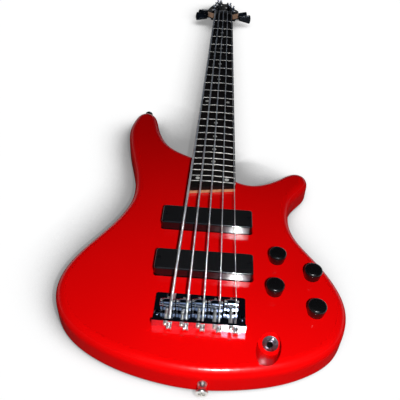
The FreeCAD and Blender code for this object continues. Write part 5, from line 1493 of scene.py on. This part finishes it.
@dataclass
class Studio:
    """A white floor, the lamps, the room that shines in the metal, and the camera.

    A small lamp in a diffuser hangs by the camera, and a large soft one to the right.
    """

    camera_spot: tuple[float, float, float] = (-1.16, -371.97, 521.78)
    camera_turn: tuple[float, float, float] = (49.1185, -2.27995, 3.43458)
    focal_px: float = 517.13
    image_px: float = 400.0
    sensor: float = 36.0
    # Near and far limits of the view, in metres
    clip: tuple[float, float] = (0.01, 200)
    lamps: tuple[Lamp, ...] = (
        Lamp("lamp_by_camera", (76, -378, 528), (0, 160, 40), 18, 5.4),
        Lamp("lamp_diffuser", (76, -380, 531), (0, 160, 40), 80, 0.3, tint="#C4D6FF"),
        Lamp("lamp_right", (1500, -900, 2700), (0, 250, 0), 2400, 3.5, mirrored=False),
    )
    # Half the floor's width in metres, and its drop below the back in millimetres
    floor_half: float = 30.0
    floor_drop: float = 0.2
    # The floor shows by itself what the lamps by the camera leave missing to white
    paper: str = "#747474"
    white: float = 1.0
    # A painted soft shadow: the glow is dimmed by occlusion near the object, looking toward the
    # side that the large lamp stands on, and not by the lamp's light
    shade_way: tuple[float, float, float] = (0.33, -0.77, 0.55)
    shade_reach: float = 105.0
    shade_limits: tuple[float, float] = (0.66, 0.9)
    shade_least: float = 0.25
    shade_samples: int = 24
    # The room by the height that a ray climbs at: limits, then strengths at them
    walls: tuple[float, float, float, float] = (0.04, 0.2, 0.9, 0.0)
    cool: tuple[float, float, float, float] = (0.2, 0.5, 1.0, 0.06)
    cool_tint: str = "#3A4658"
    # A cool patch on the ceiling that shows to the eye and in reflections but gives no light, a
    # painted reflection of the small lamp, by how near a ray comes to its middle
    halo_way: tuple[float, float, float] = (0.12, -0.5, 0.857)
    halo: tuple[float, float, float, float] = (0.9, 0.985, 0.0, 1.0)
    halo_tint: str = "#B4C6E4"

    def camera(self) -> None:
        """Stand the camera where the photograph was taken."""
        data = bpy.data.cameras.new("camera")
        data.sensor_width = self.sensor
        data.lens = self.focal_px / self.image_px * self.sensor
        data.clip_start, data.clip_end = self.clip
        thing = bpy.data.objects.new("camera", data)
        thing.location = Vector(self.camera_spot) * MM
        thing.rotation_euler = Euler([math.radians(turn) for turn in self.camera_turn])
        bpy.context.scene.collection.objects.link(thing)
        bpy.context.scene.camera = thing

    def missing(self, tree: bpy.types.NodeTree) -> bpy.types.NodeSocket:
        """What the lamps by the camera leave missing to white, from their light at each place.

        Args:
            tree: the floor's nodes.
        Returns:
            The socket that says so.
        """
        hung, aim = (Vector(place) * MM for place in (self.lamps[0].spot, self.lamps[0].aim))
        watts = self.lamps[0].watts + self.lamps[1].watts
        thrown = linear(self.paper)[0] * watts * hung.z / math.pi ** 2
        spot = add_node(tree, "NewGeometry").outputs["Position"]
        gap = add_node(tree, "VectorMath", {0: spot, 1: hung}, operation="SUBTRACT").outputs[0]
        front = add_node(tree, "VectorMath", {0: gap, 1: (aim - hung).normalized()},
                         operation="DOT_PRODUCT").outputs["Value"]
        square = add_node(tree, "VectorMath", {0: gap, 1: gap},
                          operation="DOT_PRODUCT").outputs["Value"]
        fourth = add_node(tree, "Math", {0: square, 1: square}, operation="MULTIPLY")
        share = add_node(tree, "Math", {0: front, 1: fourth.outputs[0]}, operation="DIVIDE")
        lit = add_node(tree, "Math", {0: share.outputs[0], 1: 0.0}, operation="MAXIMUM")
        return add_node(tree, "Math", numbered(lit.outputs[0], -thrown, self.white),
                        operation="MULTIPLY_ADD", use_clamp=True).outputs[0]

    def shade(self, tree: bpy.types.NodeTree) -> bpy.types.NodeSocket:
        """The painted shadow in the glow: one where the floor is open toward the large lamp's side,
        less where the object is near, found by occlusion rather than by the lamp.

        Args:
            tree: the floor's nodes.
        Returns:
            The socket that says so.
        """
        way = add_node(tree, "CombineXYZ", numbered(*self.shade_way))
        hidden = add_node(tree, "AmbientOcclusion", {"Distance": self.shade_reach * MM,
                                                     "Normal": way.outputs[0]},
                          samples=self.shade_samples)
        return add_node(tree, "MapRange", numbered(hidden.outputs["AO"], *self.shade_limits,
                                                   self.shade_least, 1.0)).outputs[0]

    def floor(self) -> None:
        """Lay a wide white floor of matt paper, which keeps the lamps' shadows and whose glow
        carries a painted shadow near the object.
        """
        half = self.floor_half
        mesh = bpy.data.meshes.new("floor")
        corners = [(-half, -half, 0), (half, -half, 0), (half, half, 0), (-half, half, 0)]
        mesh.from_pydata(corners, [], [(0, 1, 2, 3)])
        thing = bpy.data.objects.new("floor", mesh)
        thing.location.z = -self.floor_drop * MM
        bpy.context.scene.collection.objects.link(thing)
        paper = bpy.data.materials.new("white_paper_sweep")
        paper.use_nodes = True
        tree = paper.node_tree
        tree.nodes.clear()
        # The glow, dimmed near the object into a painted shadow
        clear = add_node(tree, "Math", {0: self.missing(tree), 1: self.shade(tree)},
                         operation="MULTIPLY")
        strength = add_node(tree, "Math", {0: clear.outputs[0], 1: self.seen(tree)},
                            operation="MULTIPLY")
        matt = add_node(tree, "BsdfDiffuse", {"Color": linear(self.paper)})
        glow = add_node(tree, "Emission", {"Color": linear("#FFFFFF"),
                                           "Strength": strength.outputs[0]})
        both = add_node(tree, "AddShader", {0: matt.outputs[0], 1: glow.outputs[0]})
        add_node(tree, "OutputMaterial", {"Surface": both.outputs[0]})
        mesh.materials.append(paper)

    @staticmethod
    def seen(tree: bpy.types.NodeTree) -> bpy.types.NodeSocket:
        """One where the eye, a reflection or a refraction looks, and zero for light.

        Args:
            tree: the nodes of the floor or the world.
        Returns:
            The socket that says so.
        """
        path = add_node(tree, "LightPath")
        sums = add_node(tree, "Math", {0: path.outputs["Is Camera Ray"],
                                       1: path.outputs["Is Glossy Ray"]}, operation="ADD")
        whole = add_node(tree, "Math", {0: sums.outputs[0], 1: path.outputs["Is Transmission Ray"]},
                         operation="ADD", use_clamp=True)
        return whole.outputs[0]

    def world(self) -> None:
        """A studio with pale low walls, a dark ceiling and a cool patch on it that is a painted
        reflection: it shows to the eye and in reflections and gives no light.
        """
        sky = bpy.data.worlds.new("studio")
        bpy.context.scene.world = sky
        sky.use_nodes = True
        tree = sky.node_tree
        tree.nodes.clear()
        way = add_node(tree, "TexCoord").outputs["Generated"]
        height = add_node(tree, "SeparateXYZ", {0: way}).outputs["Z"]
        walls = add_node(tree, "MapRange", numbered(height, *self.walls),
                         interpolation_type="SMOOTHSTEP")
        cool = add_node(tree, "MapRange", numbered(height, *self.cool),
                        interpolation_type="SMOOTHSTEP")
        near = add_node(tree, "VectorMath", {0: way, 1: self.halo_way}, operation="DOT_PRODUCT")
        halo = add_node(tree, "MapRange", numbered(near.outputs["Value"], *self.halo),
                        interpolation_type="SMOOTHSTEP")
        # The patch is seen only and never lights anything: a painted reflection
        strength = add_node(tree, "Math", {0: halo.outputs[0], 1: self.seen(tree)},
                            operation="MULTIPLY")
        pale = add_node(tree, "Background", {"Color": linear("#FFFFFF"),
                                             "Strength": walls.outputs[0]})
        band = add_node(tree, "Background", {"Color": linear(self.cool_tint),
                                             "Strength": cool.outputs[0]})
        patch = add_node(tree, "Background", {"Color": linear(self.halo_tint),
                                              "Strength": strength.outputs[0]})
        both = add_node(tree, "AddShader", {0: pale.outputs[0], 1: band.outputs[0]})
        whole = add_node(tree, "AddShader", {0: both.outputs[0], 1: patch.outputs[0]})
        add_node(tree, "OutputWorld", {"Surface": whole.outputs[0]})

    def build(self) -> None:
        """Set the stage, the lamps and the camera."""
        bpy.context.scene.view_settings.view_transform = "Standard"
        self.world()
        self.floor()
        for lamp in self.lamps:
            lamp.build()
        self.camera()


def main() -> None:
    """Build the pieces in order and set the stage."""
    logging.basicConfig(level=logging.INFO, format="%(name)s: %(message)s")
    PlainParts().dress()
    strings = StringSet()
    strings.build()
    Springs(strings).build()
    Saddles(strings).build()
    IntonationScrews(strings).build()
    Fasteners(strings).build()
    PickupScrews().build()
    PickupLeads().build()
    Knobs().build()
    JackSocket().build()
    StrapButtons().build()
    Studio().build()


if __name__ == "__main__":
    main()
